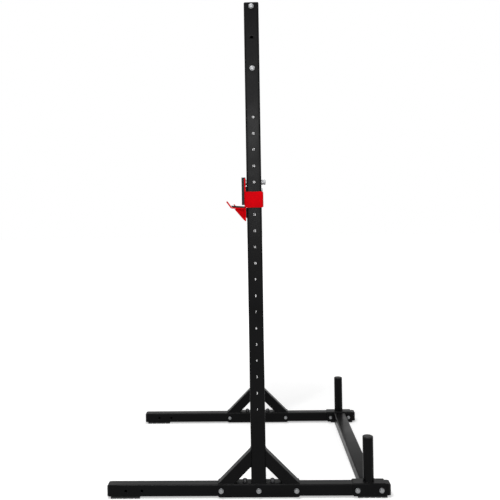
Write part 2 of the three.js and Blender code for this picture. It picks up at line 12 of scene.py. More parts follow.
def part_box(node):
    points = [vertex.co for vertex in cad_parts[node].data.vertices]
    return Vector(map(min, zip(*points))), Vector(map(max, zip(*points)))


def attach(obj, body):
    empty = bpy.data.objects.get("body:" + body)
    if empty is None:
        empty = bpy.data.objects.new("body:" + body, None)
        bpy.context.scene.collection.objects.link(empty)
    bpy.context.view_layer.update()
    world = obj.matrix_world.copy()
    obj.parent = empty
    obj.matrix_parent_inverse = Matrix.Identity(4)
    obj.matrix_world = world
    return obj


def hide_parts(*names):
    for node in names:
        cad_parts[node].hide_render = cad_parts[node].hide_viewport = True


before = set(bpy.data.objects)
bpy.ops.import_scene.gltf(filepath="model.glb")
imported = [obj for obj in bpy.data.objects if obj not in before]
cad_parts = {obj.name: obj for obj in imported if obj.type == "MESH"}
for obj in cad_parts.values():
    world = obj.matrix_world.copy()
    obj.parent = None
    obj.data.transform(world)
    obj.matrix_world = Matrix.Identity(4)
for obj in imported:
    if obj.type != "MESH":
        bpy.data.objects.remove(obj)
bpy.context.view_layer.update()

bl_info = {
    "name": "Squat Stand",
    "version": (1, 0, 0),
    "blender": (4, 5, 0),
    "location": "View3D > Sidebar > Squat Stand",
    "description": "Dresses a squat stand's CAD frame with coated tubes, bolts, welds and bar hooks",
    "category": "Object",
}

SIDES = {"left": -1.0, "right": 1.0}
ENDS = {"front": -1.0, "rear": 1.0}
RAIL_BOLTS = ("saddle_bolt_front", "saddle_bolt_middle", "saddle_bolt_rear", "bracket_bolt_front",
              "bracket_bolt_rear")
BAR_BOLTS = ("bar_bolt_lower", "bar_bolt_upper")
TURN = 2 * math.pi
SHARP_ANGLE = math.radians(34)
UP = (0, 0, 1)
UPRIGHT_AXES = ((1, 0, 0), (0, 1, 0), UP)
RAIL_AXES = ((0, 1, 0), UP, (1, 0, 0))
CROSS_AXES = (UP, (1, 0, 0), (0, 1, 0))

# Sizes of the mesh's steps, and gaps and rounding too fine to be settings
FLAT_STEPS = 8
CORNER_STEPS = 6
CELL_STEPS = 8
RIM_STEPS = 3
FOLD_STEPS = 8
TRIM_STEPS = 5
ROUND_STEPS = 64
BOLT_STEPS = 48
THREAD_STEPS = 32
BEAD_STEPS = 12
BEAD_RINGS = 6
TURN_RINGS = 6
EDGE_STEPS = 6
DOME_STEPS = 8
LEAST_RIPPLES = 3
BEAD_TIP = 0.04
WELD_STEP = 1e-6
ROUNDING_SHIFT = 0.2137
SEAT_GAP = 0.0003
SHANK_GAP = 0.0001
LEAST_CORNER = 0.0012
CAD_EDGE = 0.0008
CAD_MERGE = 1e-5
CAD_FLAT = 0.003
FLOOR_LEVEL = -0.0004


# Settings

def setting_kind(maker, **options):
    """A maker of one kind of setting, which takes a name, a description and a default."""
    def made(name, description, default):
        return maker(name=name, description=description, default=default, **options)

    return made


length = setting_kind(FloatProperty, min=0.0, precision=4, subtype="DISTANCE", unit="LENGTH")
colour = setting_kind(FloatVectorProperty, size=3, min=0.0, max=1.0, subtype="COLOR")
share = setting_kind(FloatProperty, min=0.0, max=1.0, subtype="FACTOR")
power = setting_kind(FloatProperty, min=0.0, subtype="POWER", unit="POWER")
angle = setting_kind(FloatProperty, subtype="ANGLE", unit="ROTATION")
point = setting_kind(FloatVectorProperty, size=3, subtype="XYZ", unit="LENGTH")
focus = setting_kind(FloatProperty, min=1.0, subtype="DISTANCE_CAMERA")
count = setting_kind(IntProperty, min=1, max=40)


class FinishSettings(bpy.types.PropertyGroup):
    """Colours and gloss of the stand's finishes"""

    coat: colour("Black coat", "Colour of the powder coat on the tubes", (0.0017, 0.0017, 0.0019))
    coat_roughness: share("Black coat roughness", "How matt the black powder coat is", 0.34)
    hook: colour("Red coat", "Colour of the coat on the bar hooks", (0.55, 0.0, 0.003))
    hook_roughness: share("Red coat roughness", "How matt the red coat is", 0.38)
    plastic: colour("Plastic", "Colour of the end plugs and liners", (0.004, 0.004, 0.0043))
    plastic_roughness: share("Plastic roughness", "How matt the plastic is", 0.5)
    printed: colour("Number paint", "Colour of the printed hole numbers", (0.92, 0.92, 0.92))
    printed_roughness: share("Number roughness", "How matt the printed numbers are", 0.6)
    zinc: colour("Zinc", "Colour of the plated bolts and pins", (0.25, 0.255, 0.26))
    blackened: colour("Blackened steel", "Colour of the anchor bolts", (0.13, 0.13, 0.135))
    metal_roughness: share("Metal roughness", "How matt the bolts and pins are", 0.4)
    dust: colour("Dust", "Colour of the fine dust on upward faces", (0.16, 0.155, 0.15))


class TubeSettings(bpy.types.PropertyGroup):
    """Sections and holes of the stand's tubes and sheets"""

    wall: length("Tube wall", "Thickness of every tube's wall", 0.003)
    upright_corner: length("Upright corner", "Corner radius of the uprights", 0.007)
    rail_corner: length("Rail corner", "Corner radius of rails, braces and crossmember", 0.006)
    rim: length("Cut edge", "Radius left by the coat on cut edges and hole rims", 0.0005)
    pin_hole: length("Pin hole", "Diameter of the numbered holes", 0.0254)
    pin_pitch: length("Pin hole pitch", "Distance between numbered holes", 0.0762)
    first_pin: length("First pin hole", "Height of the lowest numbered hole", 0.417)
    pin_count: count("Pin holes", "Numbered holes in each upright", 19)
    bolt_hole: length("Bolt hole", "Diameter of the bolt holes", 0.013)
    spare_inset: length("Spare hole inset", "From a rail's front end to its spare hole", 0.080)
    spare_pitch: length("Spare hole pitch", "Distance between the two spare holes", 0.076)
    hole_margin: length("Hole margin", "Flat wall kept round each hole in the mesh", 0.006)
    number_height: length("Number size", "Text size of the hole numbers", 0.0148)
    number_width: share("Number width", "How much the numbers are narrowed", 0.86)
    number_weight: length("Number weight", "How far the numbers' strokes are thickened", 0.0002)
    print_lift: length("Print thickness", "How far the numbers stand off the coat", 0.00012)
    saddle_sheet: length("Saddle sheet", "Thickness of the folded saddles", 0.004)
    saddle_bend: length("Saddle bend", "Radius of the saddles' folds at mid-sheet", 0.005)
    saddle_corner: length("Saddle corner", "Corner radius of a saddle's skirts", 0.012)
    flange: length("Flange", "Thickness of the crossmember's end flanges", 0.005)
    cross_depth: length("Crossmember depth", "Depth of the crossmember's tube", 0.070)
    bar: length("Pull-up bar", "Diameter of the pull-up bar", 0.032)
    bar_plate: length("Bar plate", "Thickness of the pull-up bar's end plates", 0.006)


class FastenerSettings(bpy.types.PropertyGroup):
    """Sizes of the bolts, washers and nuts"""

    shank: length("Shank", "Diameter of every bolt's shank", 0.012)
    across: length("Across flats", "Width of hexagons across their flats", 0.018)
    head: length("Head height", "Height of a hexagon head", 0.0075)
    nut: length("Nut height", "Height of a nut", 0.010)
    washer: length("Washer", "Diameter of a washer", 0.024)
    washer_sheet: length("Washer thickness", "Thickness of a washer", 0.0025)
    tail: length("Bolt tail", "Thread that shows past a cross bolt's nut", 0.004)
    anchor_head: length("Anchor head", "Diameter of an anchor bolt's round head", 0.024)
    anchor_head_height: length("Anchor head height", "Height of an anchor bolt's head", 0.0045)
    anchor_tail: length("Anchor tail", "Shank past an anchor bolt's bare nut", 0.005)
    thread_pitch: length("Thread pitch", "Distance between turns of thread", 0.00175)
    thread_depth: length("Thread depth", "Depth of the thread", 0.0009)


class WeldSettings(bpy.types.PropertyGroup):
    """Weld beads"""

    radius: length("Bead radius", "Radius of a weld bead", 0.0026)
    pitch: length("Ripple pitch", "Distance between ripples of a weld bead", 0.0034)
    ripple: share("Ripple depth", "Share of the radius that each ripple falls by", 0.2)
    inset: length("Bead inset", "How far a hook's beads stop short of a corner", 0.003)
    gusset_inset: length("Gusset bead inset", "How far the gusset's beads stop short", 0.004)


class PlugSettings(bpy.types.PropertyGroup):
    """Plastic end plugs"""

    inset: length("Plug inset", "How far a plug's head stands in from the tube's sides", 0.001)
    rail_head: length("Rail plug head", "Height of a rail plug's head", 0.009)
    rail_dome: length("Rail plug dome", "Rounding of a rail plug's edge", 0.004)
    upright_head: length("Upright plug head", "Height of an upright plug's head", 0.0045)
    upright_dome: length("Upright plug dome", "Rounding of an upright plug's edge", 0.0015)
    post_head: length("Post plug head", "Height of a post plug's head", 0.006)
    post_dome: length("Post plug dome", "Rounding of a post plug's edge", 0.004)
    crown: length("Plug crown", "Rise of a plug's middle above its edge", 0.0006)


class HookSettings(bpy.types.PropertyGroup):
    """Bar hooks: x is counted from the upright's front face and z from the pin's axis"""

    sheet: length("Hook sheet", "Thickness of the hook's folded sheet", 0.006)
    bend: length("Hook bend", "Middle radius of the ear's folds", 0.006)
    width: length("Hook width", "Width of the back plate and shelf", 0.055)
    standoff: length("Standoff", "Space between the back plate and the upright", 0.005)
    rise: length("Plate rise", "Back plate above the pin's axis", 0.019)
    drop: length("Plate drop", "Back plate below the pin's axis", 0.182)
    corner: length("Plate corner", "Corner radius of the back plate", 0.004)
    ear_clearance: length("Ear clearance", "Space between the ear and the upright", 0.0008)
    ear_top: length("Ear top", "Top edge of the ear below the pin's axis", 0.0445)
    ear_height: length("Ear height", "Height of the ear", 0.0745)
    ear_overhang: length("Ear overhang", "How far the ear passes the upright's rear face", 0.008)
    ear_corner: length("Ear corner", "Corner radius of the ear", 0.005)
    lip: length("Return lip", "Length of the ear's lip behind the upright", 0.020)
    shelf_reach: length("Shelf reach", "Fold of the shelf in front of the upright", 0.073)
    shelf_drop: length("Shelf drop", "Shelf below the pin's axis at its fold", 0.116)
    shelf_fall: length("Shelf fall", "How much lower the shelf is at the back plate", 0.005)
    shelf_bend: length("Shelf bend", "Middle radius of the shelf's fold", 0.008)
    lip_run: length("Shelf lip run", "How far the shelf's lip reaches forwards", 0.022)
    lip_rise: length("Shelf lip rise", "How far the shelf's lip rises", 0.030)
    gusset_reach: length("Gusset reach", "Front of the gusset", 0.058)
    gusset_drop: length("Gusset drop", "Foot of the gusset below the pin's axis", 0.179)
    gusset_blunt: length("Gusset blunt", "Blunted corners of the gusset", 0.003)
    pin: length("Pin", "Diameter of the hook's pin", 0.024)
    pin_proud: length("Pin proud", "How far the pin passes the upright's rear face", 0.020)
    pin_chamfer: length("Pin chamfer", "Chamfer on the pin's end", 0.002)
    pin_edge: length("Pin edge", "Broken edge of the pin, its collar and its groove", 0.0004)
    groove_inset: length("Groove inset", "From the pin's end to its groove", 0.008)
    groove_width: length("Groove width", "Width of the pin's groove", 0.004)
    groove_depth: length("Groove depth", "Depth of the pin's groove", 0.0015)
    collar: length("Collar", "Diameter of the pin's collar", 0.030)
    collar_sheet: length("Collar thickness", "Thickness of the pin's collar", 0.003)
    liner: length("Back liner", "Thickness of the back liner", 0.012)
    liner_rise: length("Liner rise", "Back liner above the pin's axis", 0.023)
    liner_drop: length("Liner drop", "Back liner below the pin's axis", 0.106)
    shelf_liner: length("Shelf liner", "Thickness of the shelf liner", 0.008)
    bumper_top: length("Bumper top", "Top of the bumper below the pin's axis", 0.124)
    bumper_height: length("Bumper height", "Height of the bumper", 0.042)
    bumper_width: length("Bumper width", "Width of the bumper", 0.040)
    bumper_corner: length("Bumper corner", "Corner radius of the bumper", 0.004)
    edge: length("Soft edge", "Rounding of the hook's edges under its coat", 0.0009)


class StageSettings(bpy.types.PropertyGroup):
    """Camera, lamps and floor"""

    camera_place: point("Camera", "Place of the camera", (0.0495, -3.526, 1.3435))
    camera_turn: angle("Camera turn", "Turn of the camera about the vertical", math.radians(1.54))
    camera_roll: angle("Camera roll", "Roll of the camera about its view", math.radians(-0.925))
    lens: focus("Lens", "Focal length of the camera", 45.533)
    shift_across: share("Shift across", "Sideways shift of the camera's frame", 0.0254)
    shift_down: share("Shift down", "Downward shift of the camera's frame", 0.0753)
    overhead: power("Overhead lamp", "Power of the lamp above the stand", 53.0)
    key: power("Key lamp", "Power of the lamp high in front of the stand", 120.0)
    front: power("Front lamp", "Power of the lamp just over the camera", 48.0)
    fill: share("Room light", "Strength of the light from the room", 0.18)
    floor_colour: share("Floor", "How white the floor is", 0.8)
    near_glow: share("Near floor glow", "Share of white that the floor adds near the stand", 0.42)
    glow_start: length("Glow start", "Where the glow starts to rise, from the middle", 1.0)
    glow_full: length("Glow full", "Where the floor's glow is full white", 3.2)
    floor_half: length("Floor half width", "Half the width of the floor", 30.0)


SETTING_GROUPS = {
    "stand_finish": FinishSettings,
    "stand_tubes": TubeSettings,
    "stand_fasteners": FastenerSettings,
    "stand_welds": WeldSettings,
    "stand_plugs": PlugSettings,
    "stand_hooks": HookSettings,
    "stand_stage": StageSettings,
}


def settings(name):
    """The scene's settings of one group."""
    return getattr(bpy.context.scene, "stand_" + name)


# Surfaces

Box = namedtuple("Box", "low high middle size foot")


def box_of(node):
    """A CAD node's box: its corners, its middle, its size and the middle of its underside."""
    low, high = (np.array(corner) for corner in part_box(node))
    middle = (low + high) / 2
    return Box(low, high, middle, high - low, (middle[0], middle[1], low[2]))


def skin(rings, closed=False):
    """Quads over rings of points.

    Point (row, column) joins (row, column + 1) and (row + 1, column). Each ring closes on itself, and
    the last ring joins the first one if closed.
    """
    rows, columns = rings.shape[:2]
    row = np.arange(rows if closed else rows - 1)[:, None]
    column = np.arange(columns)[None, :]
    above = (row + 1) % rows
    beside = (column + 1) % columns
    quads = np.stack([row * columns + column, row * columns + beside,
                      above * columns + beside, above * columns + column], -1)
    return rings.reshape(-1, 3), quads.reshape(-1, 4)


def solid(rings):
    """A closed skin over stacked rings, with each end drawn in to a point at its middle."""
    first, last = (np.broadcast_to(ring.mean(0), ring.shape)[None] for ring in (rings[0], rings[-1]))
    return skin(np.concatenate([first, rings, last]))


def strip(sections):
    """A closed skin over four-cornered sections, with one quad at each end."""
    points, quads = skin(sections)
    last = len(points) - 4
    ends = np.array([[3, 2, 1, 0], [last, last + 1, last + 2, last + 3]])
    return points, np.concatenate([quads, ends])


def outward(points, quads):
    """Merges points that coincide, drops quads that collapse, and turns the skin's faces outwards.

    The volume is a sixth of the sum of each triangle's a . (b x c); where it is negative, the skin is
    inside out and every quad is reversed.
    """
    keys = np.round(points / WELD_STEP + ROUNDING_SHIFT).astype(np.int64)
    _, first, index = np.unique(keys, axis=0, return_index=True, return_inverse=True)
    points = points[first]
    quads = index.reshape(-1)[quads]
    quads = quads[(quads == np.roll(quads, -1, axis=1)).sum(1) <= 1]
    a, b, c, d = (points[quads[:, corner]] for corner in range(4))
    volume = (a * (np.cross(b, c) + np.cross(c, d))).sum()
    return points, quads if volume > 0 else quads[:, ::-1]


def mesh_of(name, shells):
    """One mesh from several closed shells; a quad with a repeated corner becomes a triangle."""
    points, faces, start = [], [], 0
    for shell in shells:
        shell_points, quads = outward(*shell)
        repeated = quads == np.roll(quads, -1, axis=1)
        whole = ~repeated.any(1)
        faces.extend((quads[whole] + start).tolist())
        faces.extend((quads[~whole][~repeated[~whole]].reshape(-1, 3) + start).tolist())
        points.append(shell_points)
        start += len(shell_points)
    mesh = bpy.data.meshes.new(name)
    mesh.from_pydata(np.concatenate(points).tolist(), [], faces)
    mesh.polygons.foreach_set("use_smooth", np.ones(len(mesh.polygons), dtype=bool))
    mesh.set_sharp_from_angle(angle=SHARP_ANGLE)
    mesh.update()
    return mesh


def soften(piece, width):
    """Rounds a piece's sharp edges by the width of its coat's own rounding."""
    bevel = piece.modifiers.new("Soft edges", "BEVEL")
    bevel.width = width
    bevel.segments = 2
    bevel.limit_method = "ANGLE"
    bevel.angle_limit = SHARP_ANGLE
    bevel.harden_normals = True


def placed(shell, axes, origin):
    """A shell's points moved: x, y and z are counted along the three axes from the origin."""
    points, quads = shell
    return points @ np.array(axes, dtype=float) + np.array(origin, dtype=float), quads


def add_piece(name, shells, replaced=None, finish="satin_black_coat", body="frame", edge=0.0,
              axes=UPRIGHT_AXES, origin=(0.0, 0.0, 0.0)):
    """Makes a piece of closed shells, placed by its axes, coats it and hangs it on its body."""
    piece = bpy.data.objects.new(name, mesh_of(name, [placed(s, axes, origin) for s in shells]))
    bpy.context.scene.collection.objects.link(piece)
    piece.data.materials.append(material(finish))
    if edge:
        soften(piece, edge)
    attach(piece, body)
    if replaced:
        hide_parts(replaced)


def quarter(steps=RIM_STEPS):
    """Angles of a quarter turn, both ends included."""
    return np.linspace(0, math.pi / 2, steps + 1)


def soft_edge(radius):
    """An edge's rounding as (inset, height): (r * (1 - sin a), r * (1 - cos a))."""
    return [(radius * (1 - math.sin(a)), radius * (1 - math.cos(a))) for a in quarter()]


def circle(radius, steps=ROUND_STEPS):
    """Points (r cos t, r sin t); radius may be an array of rings by points."""
    turn = np.arange(steps) * TURN / steps
    return np.stack([radius * np.cos(turn), radius * np.sin(turn)], -1)


def box_outline(width, height, corner, flat_steps=FLAT_STEPS):
    """A rounded rectangle, counter-clockwise from the foot of its +X side.

    Each side is a straight run and then a quarter circle: corner centre + radius * (cos a, sin a).
    """
    run = np.linspace(-1, 1, flat_steps, endpoint=False)
    turn = np.linspace(0, math.pi / 2, CORNER_STEPS, endpoint=False)
    half = (width / 2 - corner, height / 2 - corner)
    sides = []
    for side in range(4):
        out, along = half if side % 2 == 0 else half[::-1]
        flat = np.stack([np.full(flat_steps, out + corner), run * along], 1)
        bend = np.stack([out + corner * np.cos(turn), along + corner * np.sin(turn)], 1)
        cos, sin = math.cos(side * math.pi / 2), math.sin(side * math.pi / 2)
        sides.append(np.concatenate([flat, bend]) @ np.array([[cos, sin], [-sin, cos]]))
    return np.concatenate(sides)


def lifted(outlines, heights):
    """Flat outlines raised to their heights."""
    levels = np.broadcast_to(np.asarray(heights, dtype=float)[..., None], outlines.shape[:-1])
    return np.concatenate([outlines, levels[..., None]], -1)


def box_rings(width, height, corner, levels, flat_steps=FLAT_STEPS):
    """Stacked rounded rectangles: each level (inset, z) draws the outline in and lifts it."""
    return np.array([
        lifted(box_outline(width - 2 * inset, height - 2 * inset, max(corner - inset, LEAST_CORNER),
                           flat_steps), z) for inset, z in levels
    ])


def slab(width, height, corner, sheet, edge):
    """A rounded rectangle of plate from zero to its thickness, with soft edges."""
    low = soft_edge(edge)
    levels = low + [(inset, sheet - z) for inset, z in reversed(low)]
    return solid(box_rings(width, height, corner, levels, 1))


def turned(profile, steps=ROUND_STEPS, closed=False):
    """A profile of (radius, height) turned about Z: (r cos t, r sin t, h)."""
    radius, height = np.array(profile, dtype=float).T
    return skin(lifted(circle(radius[:, None], steps), height), closed)


def box_tube(size_x, size_y, corner, span, holes=()):
    """A box tube along Z from zero to span, with round holes through opposite walls.

    The walls are one grid of outlines by heights, inside and out. Each hole (side, height, radius)
    takes a cell out of two facing walls, and rings lead from the cell's edge to the hole's rounded
    rim, through the wall and out to the same cell's edge inside.
    """
    tubes = settings("tubes")
    wall, rim = tubes.wall, tubes.rim
    half = (size_y / 2 - corner, size_x / 2 - corner)
    cells = [(side, height, radius, min(half[side], radius + tubes.hole_margin))
             for side, height, radius in holes]
    levels = [np.linspace(height - reach, height + reach, CELL_STEPS + 1)
              for _, height, _, reach in cells]
    levels = np.unique(np.round(np.concatenate([[rim, span - rim], *levels]), 7))
    foot = soft_edge(rim)[:-1]
    outer = foot + [(0.0, z) for z in levels] + [(inset, span - z) for inset, z in reversed(foot)]
    inner = [(wall - inset, z) for inset, z in reversed(outer)]
    rings = box_rings(size_x, size_y, corner, outer + inner)
    points, quads = skin(rings, closed=True)
    columns = rings.shape[1]
    kept = np.ones(rings.shape[:2], dtype=bool)
    all_points, all_quads, offset = [points], [], len(points)
    for side, height, radius, reach in cells:
        first = len(foot) + int(np.argmin(np.abs(levels - (height - reach))))
        inside = len(rings) - 1 - first - CELL_STEPS
        for face in (side, side + 2):
            start = face * columns // 4
            for row in (first, inside):
                kept[row:row + CELL_STEPS, start:start + FLAT_STEPS] = False
            points, hole_quads = hole_skin(face, height, radius, half[side], reach,
                                           (size_x, size_y)[side])
            all_points.append(points)
            all_quads.append(hole_quads + offset)
            offset += len(points)
    return np.concatenate(all_points), np.concatenate([quads[kept.reshape(-1)], *all_quads])


def hole_skin(face, height, radius, half_run, reach, across):
    """Rings from a cell's edge outside, through a round hole, to the cell's edge inside.

    The edge of the cell is a rectangle; the hole is radius * (cos a, sin a); the rims are quarter
    circles, and the bore is straight between them.
    """
    tubes = settings("tubes")
    run = np.linspace(-1, 1, FLAT_STEPS, endpoint=False)
    climb = np.linspace(-1, 1, CELL_STEPS, endpoint=False)
    half_edge = np.concatenate([
        np.stack([run * half_run, np.full(FLAT_STEPS, -reach)], 1),
        np.stack([np.full(CELL_STEPS, half_run), climb * reach], 1),
    ])
    edge = np.concatenate([half_edge, -half_edge])
    turn = np.concatenate([math.pi / 2 * (quadrant - 1.5 + np.arange(steps) / steps)
                           for quadrant, steps in enumerate((FLAT_STEPS, CELL_STEPS) * 2)])
    ring = np.stack([np.cos(turn), np.sin(turn)], 1)
    wide = ring * (radius + tubes.rim)
    stations = [(edge, 0.0), ((edge + wide) / 2, 0.0), (wide, 0.0)]
    stations += [(ring * (radius + inset), depth) for inset, depth in soft_edge(tubes.rim)[1:]]
    through = [(flat, -depth) for flat, depth in stations]
    through += [(flat, depth - tubes.wall) for flat, depth in reversed(stations)]
    cos, sin = round(math.cos(face * math.pi / 2)), round(math.sin(face * math.pi / 2))
    rings = []
    for flat, depth in through:
        out, along = across / 2 + depth, flat[:, 0]
        rings.append(np.column_stack([cos * out - sin * along, sin * out + cos * along,
                                      height + flat[:, 1]]))
    return skin(np.array(rings))


def bead(path, normal, closed=True):
    """A weld bead: a tube along a path whose radius falls away behind every ripple.

    radius(s, t) = r * (1 - ripple * f * f), where f is the fraction of a ripple passed at
    s / pitch + cos(t)^2 / 4, so that each ripple is drawn out in the middle like a scale.
    """
    welds = settings("welds")
    path = np.array(path, dtype=float)
    if closed:
        path = np.concatenate([path, path[:1]])
    travelled = np.cumsum([0.0, *np.linalg.norm(np.diff(path, axis=0), axis=1)])
    whole = travelled[-1]
    ripples = max(LEAST_RIPPLES, round(whole / welds.pitch))
    along = np.linspace(0, whole, ripples * BEAD_RINGS, endpoint=not closed)
    centre = np.stack([np.interp(along, travelled, path[:, axis]) for axis in range(3)], 1)
    if closed:
        tangent = np.roll(centre, -1, axis=0) - np.roll(centre, 1, axis=0)
    else:
        tangent = np.gradient(centre, axis=0)
    tangent /= np.linalg.norm(tangent, axis=1)[:, None]
    beside = np.cross(tangent, normal)
    beside /= np.linalg.norm(beside, axis=1)[:, None]
    around = circle(1.0, BEAD_STEPS)
    passed = (along / whole * ripples)[:, None] + around[:, 0] ** 2 / 4
    radius = welds.radius * (1 - welds.ripple * (passed % 1.0) ** 2)
    if not closed:
        ends = np.minimum(along, whole - along) / welds.radius
        radius = radius * np.sqrt(1 - (1 - np.clip(ends, BEAD_TIP, 1)) ** 2)[:, None]
    rings = (centre[:, None, :] + (radius * around[:, 0])[..., None] * np.array(normal, dtype=float)
             + (radius * around[:, 1])[..., None] * beside[:, None, :])
    return skin(rings, closed=True) if closed else solid(rings)


def folded_path(corners, bend):
    """Points and directions along a line that is rounded at each inner corner.

    An arc of radius bend starts bend * tan(turn / 2) before the corner and turns about its own centre.
    """
    corners = np.array(corners, dtype=float)
    along = np.diff(corners, axis=0)
    along /= np.linalg.norm(along, axis=1)[:, None]
    points, directions = [corners[:1]], [along[:1]]
    for corner, before, after in zip(corners[1:-1], along, along[1:]):
        left = np.array([-before[1], before[0]])
        turn = math.atan2(left @ after, before @ after)
        reach = math.copysign(bend, turn)
        centre = corner - before * bend * math.tan(abs(turn) / 2) + left * reach
        passed = np.linspace(0, turn, FOLD_STEPS + 1)[:, None]
        ahead = before * np.cos(passed) + left * np.sin(passed)
        points.append(centre + ahead[:, ::-1] * (reach, -reach))
        directions.append(ahead)
    return np.concatenate([*points, corners[-1:]]), np.concatenate([*directions, along[-1:]])


def sheet_sections(points, directions, sheet, low, high):
    """Four-cornered sections across a path in the plane, from a low to a high level at each point."""
    across = np.column_stack([-directions[:, 1], directions[:, 0]]) * sheet / 2
    one, other = points + across, points - across
    return np.stack([np.column_stack([one, low]), np.column_stack([other, low]),
                     np.column_stack([other, high]), np.column_stack([one, high])], 1)


def rounded_steps(radius):
    """Distances along a side at which a rounded corner is drawn."""
    return radius * (1 - np.cos(quarter(TRIM_STEPS)))


def rounded_off(distance, radius):
    """How far a rounded corner falls away at a distance from the end of the side."""
    inside = np.clip(radius - distance, 0.0, radius)
    return radius - np.sqrt(radius ** 2 - inside ** 2)


# Materials

# Each painted finish: the setting of its colour, and how strong its gloss, peel, dust and marks are
PAINTED = {
    "satin_black_coat": {"setting": "coat", "specular": 0.066, "peel_scale": 420.0,
                         "peel_depth": 0.00012, "dust": 0.04, "marks": 0.35},
    "satin_red_coat": {"setting": "hook", "specular": 0.01, "peel_scale": 420.0,
                       "peel_depth": 0.00012, "dust": 0.01, "marks": 0.1},
    "moulded_plastic": {"setting": "plastic", "specular": 0.16, "peel_scale": 1500.0,
                        "peel_depth": 0.00005, "dust": 0.05, "marks": 0.2},
    "white_print": {"setting": "printed", "specular": 0.4, "peel_scale": 900.0,
                    "peel_depth": 0.00003, "dust": 0.0, "marks": 0.1},
}

# Each metal finish and the setting of its colour
METALS = {"bright_zinc": "zinc", "blackened_steel": "blackened"}

# Levels of a painted colour in its clouds and where it is rubbed, and what roughness they add
COAT_DARK, COAT_LIGHT = 0.82, 1.25
RUB_LEVEL, RUB_LIFT = 2.2, 0.012
CLOUD_ROUGHNESS, RUB_ROUGHNESS, DUST_ROUGHNESS = 0.1, 0.2, 0.5
PEEL_STRENGTH = 0.5
BROAD_SCALE, BROAD_SHARE = 0.22, 0.4

# The same for metal, and its grain
METAL_DARK, METAL_RUBBED, METAL_MARKS, METAL_CLOUD_ROUGHNESS = 0.84, 0.55, 0.8, 0.14
GRAIN_SCALE, GRAIN_STRENGTH, GRAIN_DEPTH = 1400.0, 0.25, 0.00003

# Where ShaderNodeMix keeps its mask, its two colours and its result
MIX_MASK, MIX_FIRST, MIX_SECOND, MIX_RESULT = 0, 6, 7, 2


def is_socket(value):
    """Whether a value is a node's socket."""
    return isinstance(value, bpy.types.NodeSocket)


def feed(tree, inputs, sockets):
    """Links each named input from a socket, or sets it to a value."""
    for name, value in inputs.items():
        if is_socket(value):
            tree.links.new(value, sockets[name])
        else:
            sockets[name].default_value = value


def new_node(tree, kind, inputs=None, **attributes):
    """A node with its attributes set and its inputs linked or set."""
    node = tree.nodes.new(kind)
    for name, value in attributes.items():
        setattr(node, name, value)
    feed(tree, inputs or {}, node.inputs)
    return node


def math_node(tree, operation, first, second, clamp=False):
    """The result of a Math node on sockets or numbers."""
    return new_node(tree, "ShaderNodeMath", {0: first, 1: second}, operation=operation,
                    use_clamp=clamp).outputs[0]


def plus(tree, value, mask, amount, clamp=False):
    """A value plus an amount times a mask."""
    return math_node(tree, "ADD", math_node(tree, "MULTIPLY", mask, amount), value, clamp)


def ramp(tree, value, low, high):
    """Smoothly from 0 at low to 1 at high."""
    return new_node(tree, "ShaderNodeMapRange", {"Value": value, "From Min": low, "From Max": high},
                    interpolation_type="SMOOTHSTEP").outputs["Result"]


def noise(tree, vector, scale, detail, roughness=0.55):
    """Noise over a vector."""
    return new_node(tree, "ShaderNodeTexNoise", {"Vector": vector, "Scale": scale, "Detail": detail,
                                                 "Roughness": roughness}).outputs["Fac"]


def drawn_out(tree, vector, scales, low, high):
    """Thin lines from noise that is scaled differently along the three axes."""
    scaled = new_node(tree, "ShaderNodeVectorMath", {0: vector, 1: scales}, operation="MULTIPLY")
    return ramp(tree, noise(tree, scaled.outputs[0], 1.0, detail=2.0), low, high)


def mixed(tree, mask, first, second):
    """A colour between two, by a mask; each is a socket or an RGB triple."""
    first, second = (value if is_socket(value) else (*value, 1.0) for value in (first, second))
    return new_node(tree, "ShaderNodeMix", {MIX_MASK: mask, MIX_FIRST: first, MIX_SECOND: second},
                    data_type="RGBA").outputs[MIX_RESULT]


def shaded(base, level, lift=0.0):
    """A colour times a level, plus a lift, and never above white."""
    return tuple(min(1.0, level * part + lift) for part in base)


def effect(name, inputs, build):
    """A shader node group, made once.

    The inputs are named sockets and their kinds, and build(group, source) puts its nodes in and
    returns the outputs by name, all of them numbers.
    """
    if name not in bpy.data.node_groups:
        group = bpy.data.node_groups.new(name, "ShaderNodeTree")
        for socket, kind in inputs.items():
            group.interface.new_socket(socket, in_out="INPUT", socket_type=kind)
        outputs = build(group, group.nodes.new("NodeGroupInput").outputs)
        for socket in outputs:
            group.interface.new_socket(socket, in_out="OUTPUT", socket_type="NodeSocketFloat")
        feed(group, outputs, group.nodes.new("NodeGroupOutput").inputs)
    return bpy.data.node_groups[name]


def peel_nodes(group, source):
    """The fine orange peel and broad ripple of a baked coat as a height, and a cloudy variation."""
    place, scale = source["Vector"], source["Scale"]
    broad = noise(group, place, math_node(group, "MULTIPLY", scale, BROAD_SCALE), detail=1.0)
    cloud = noise(group, place, 7.0, detail=4.0)
    return {"Height": plus(group, noise(group, place, scale, detail=2.0), broad, BROAD_SHARE),
            "Variation": ramp(group, cloud, 0.3, 0.7)}


def dust_nodes(group, source):
    """A mask of fine dust on faces that look up, thinned by noise."""
    place = source["Vector"]
    parts = new_node(group, "ShaderNodeSeparateXYZ", {0: source["Normal"]})
    facing_up = ramp(group, parts.outputs["Z"], 0.35, 0.95)
    patches = ramp(group, noise(group, place, 14.0, detail=5.0, roughness=0.65), 0.35, 0.75)
    specks = ramp(group, noise(group, place, 900.0, detail=2.0), 0.52, 0.72)
    thinned = math_node(group, "ADD", patches, specks, clamp=True)
    mask = math_node(group, "MULTIPLY", facing_up, thinned)
    return {"Mask": math_node(group, "MULTIPLY", mask, source["Amount"], clamp=True)}


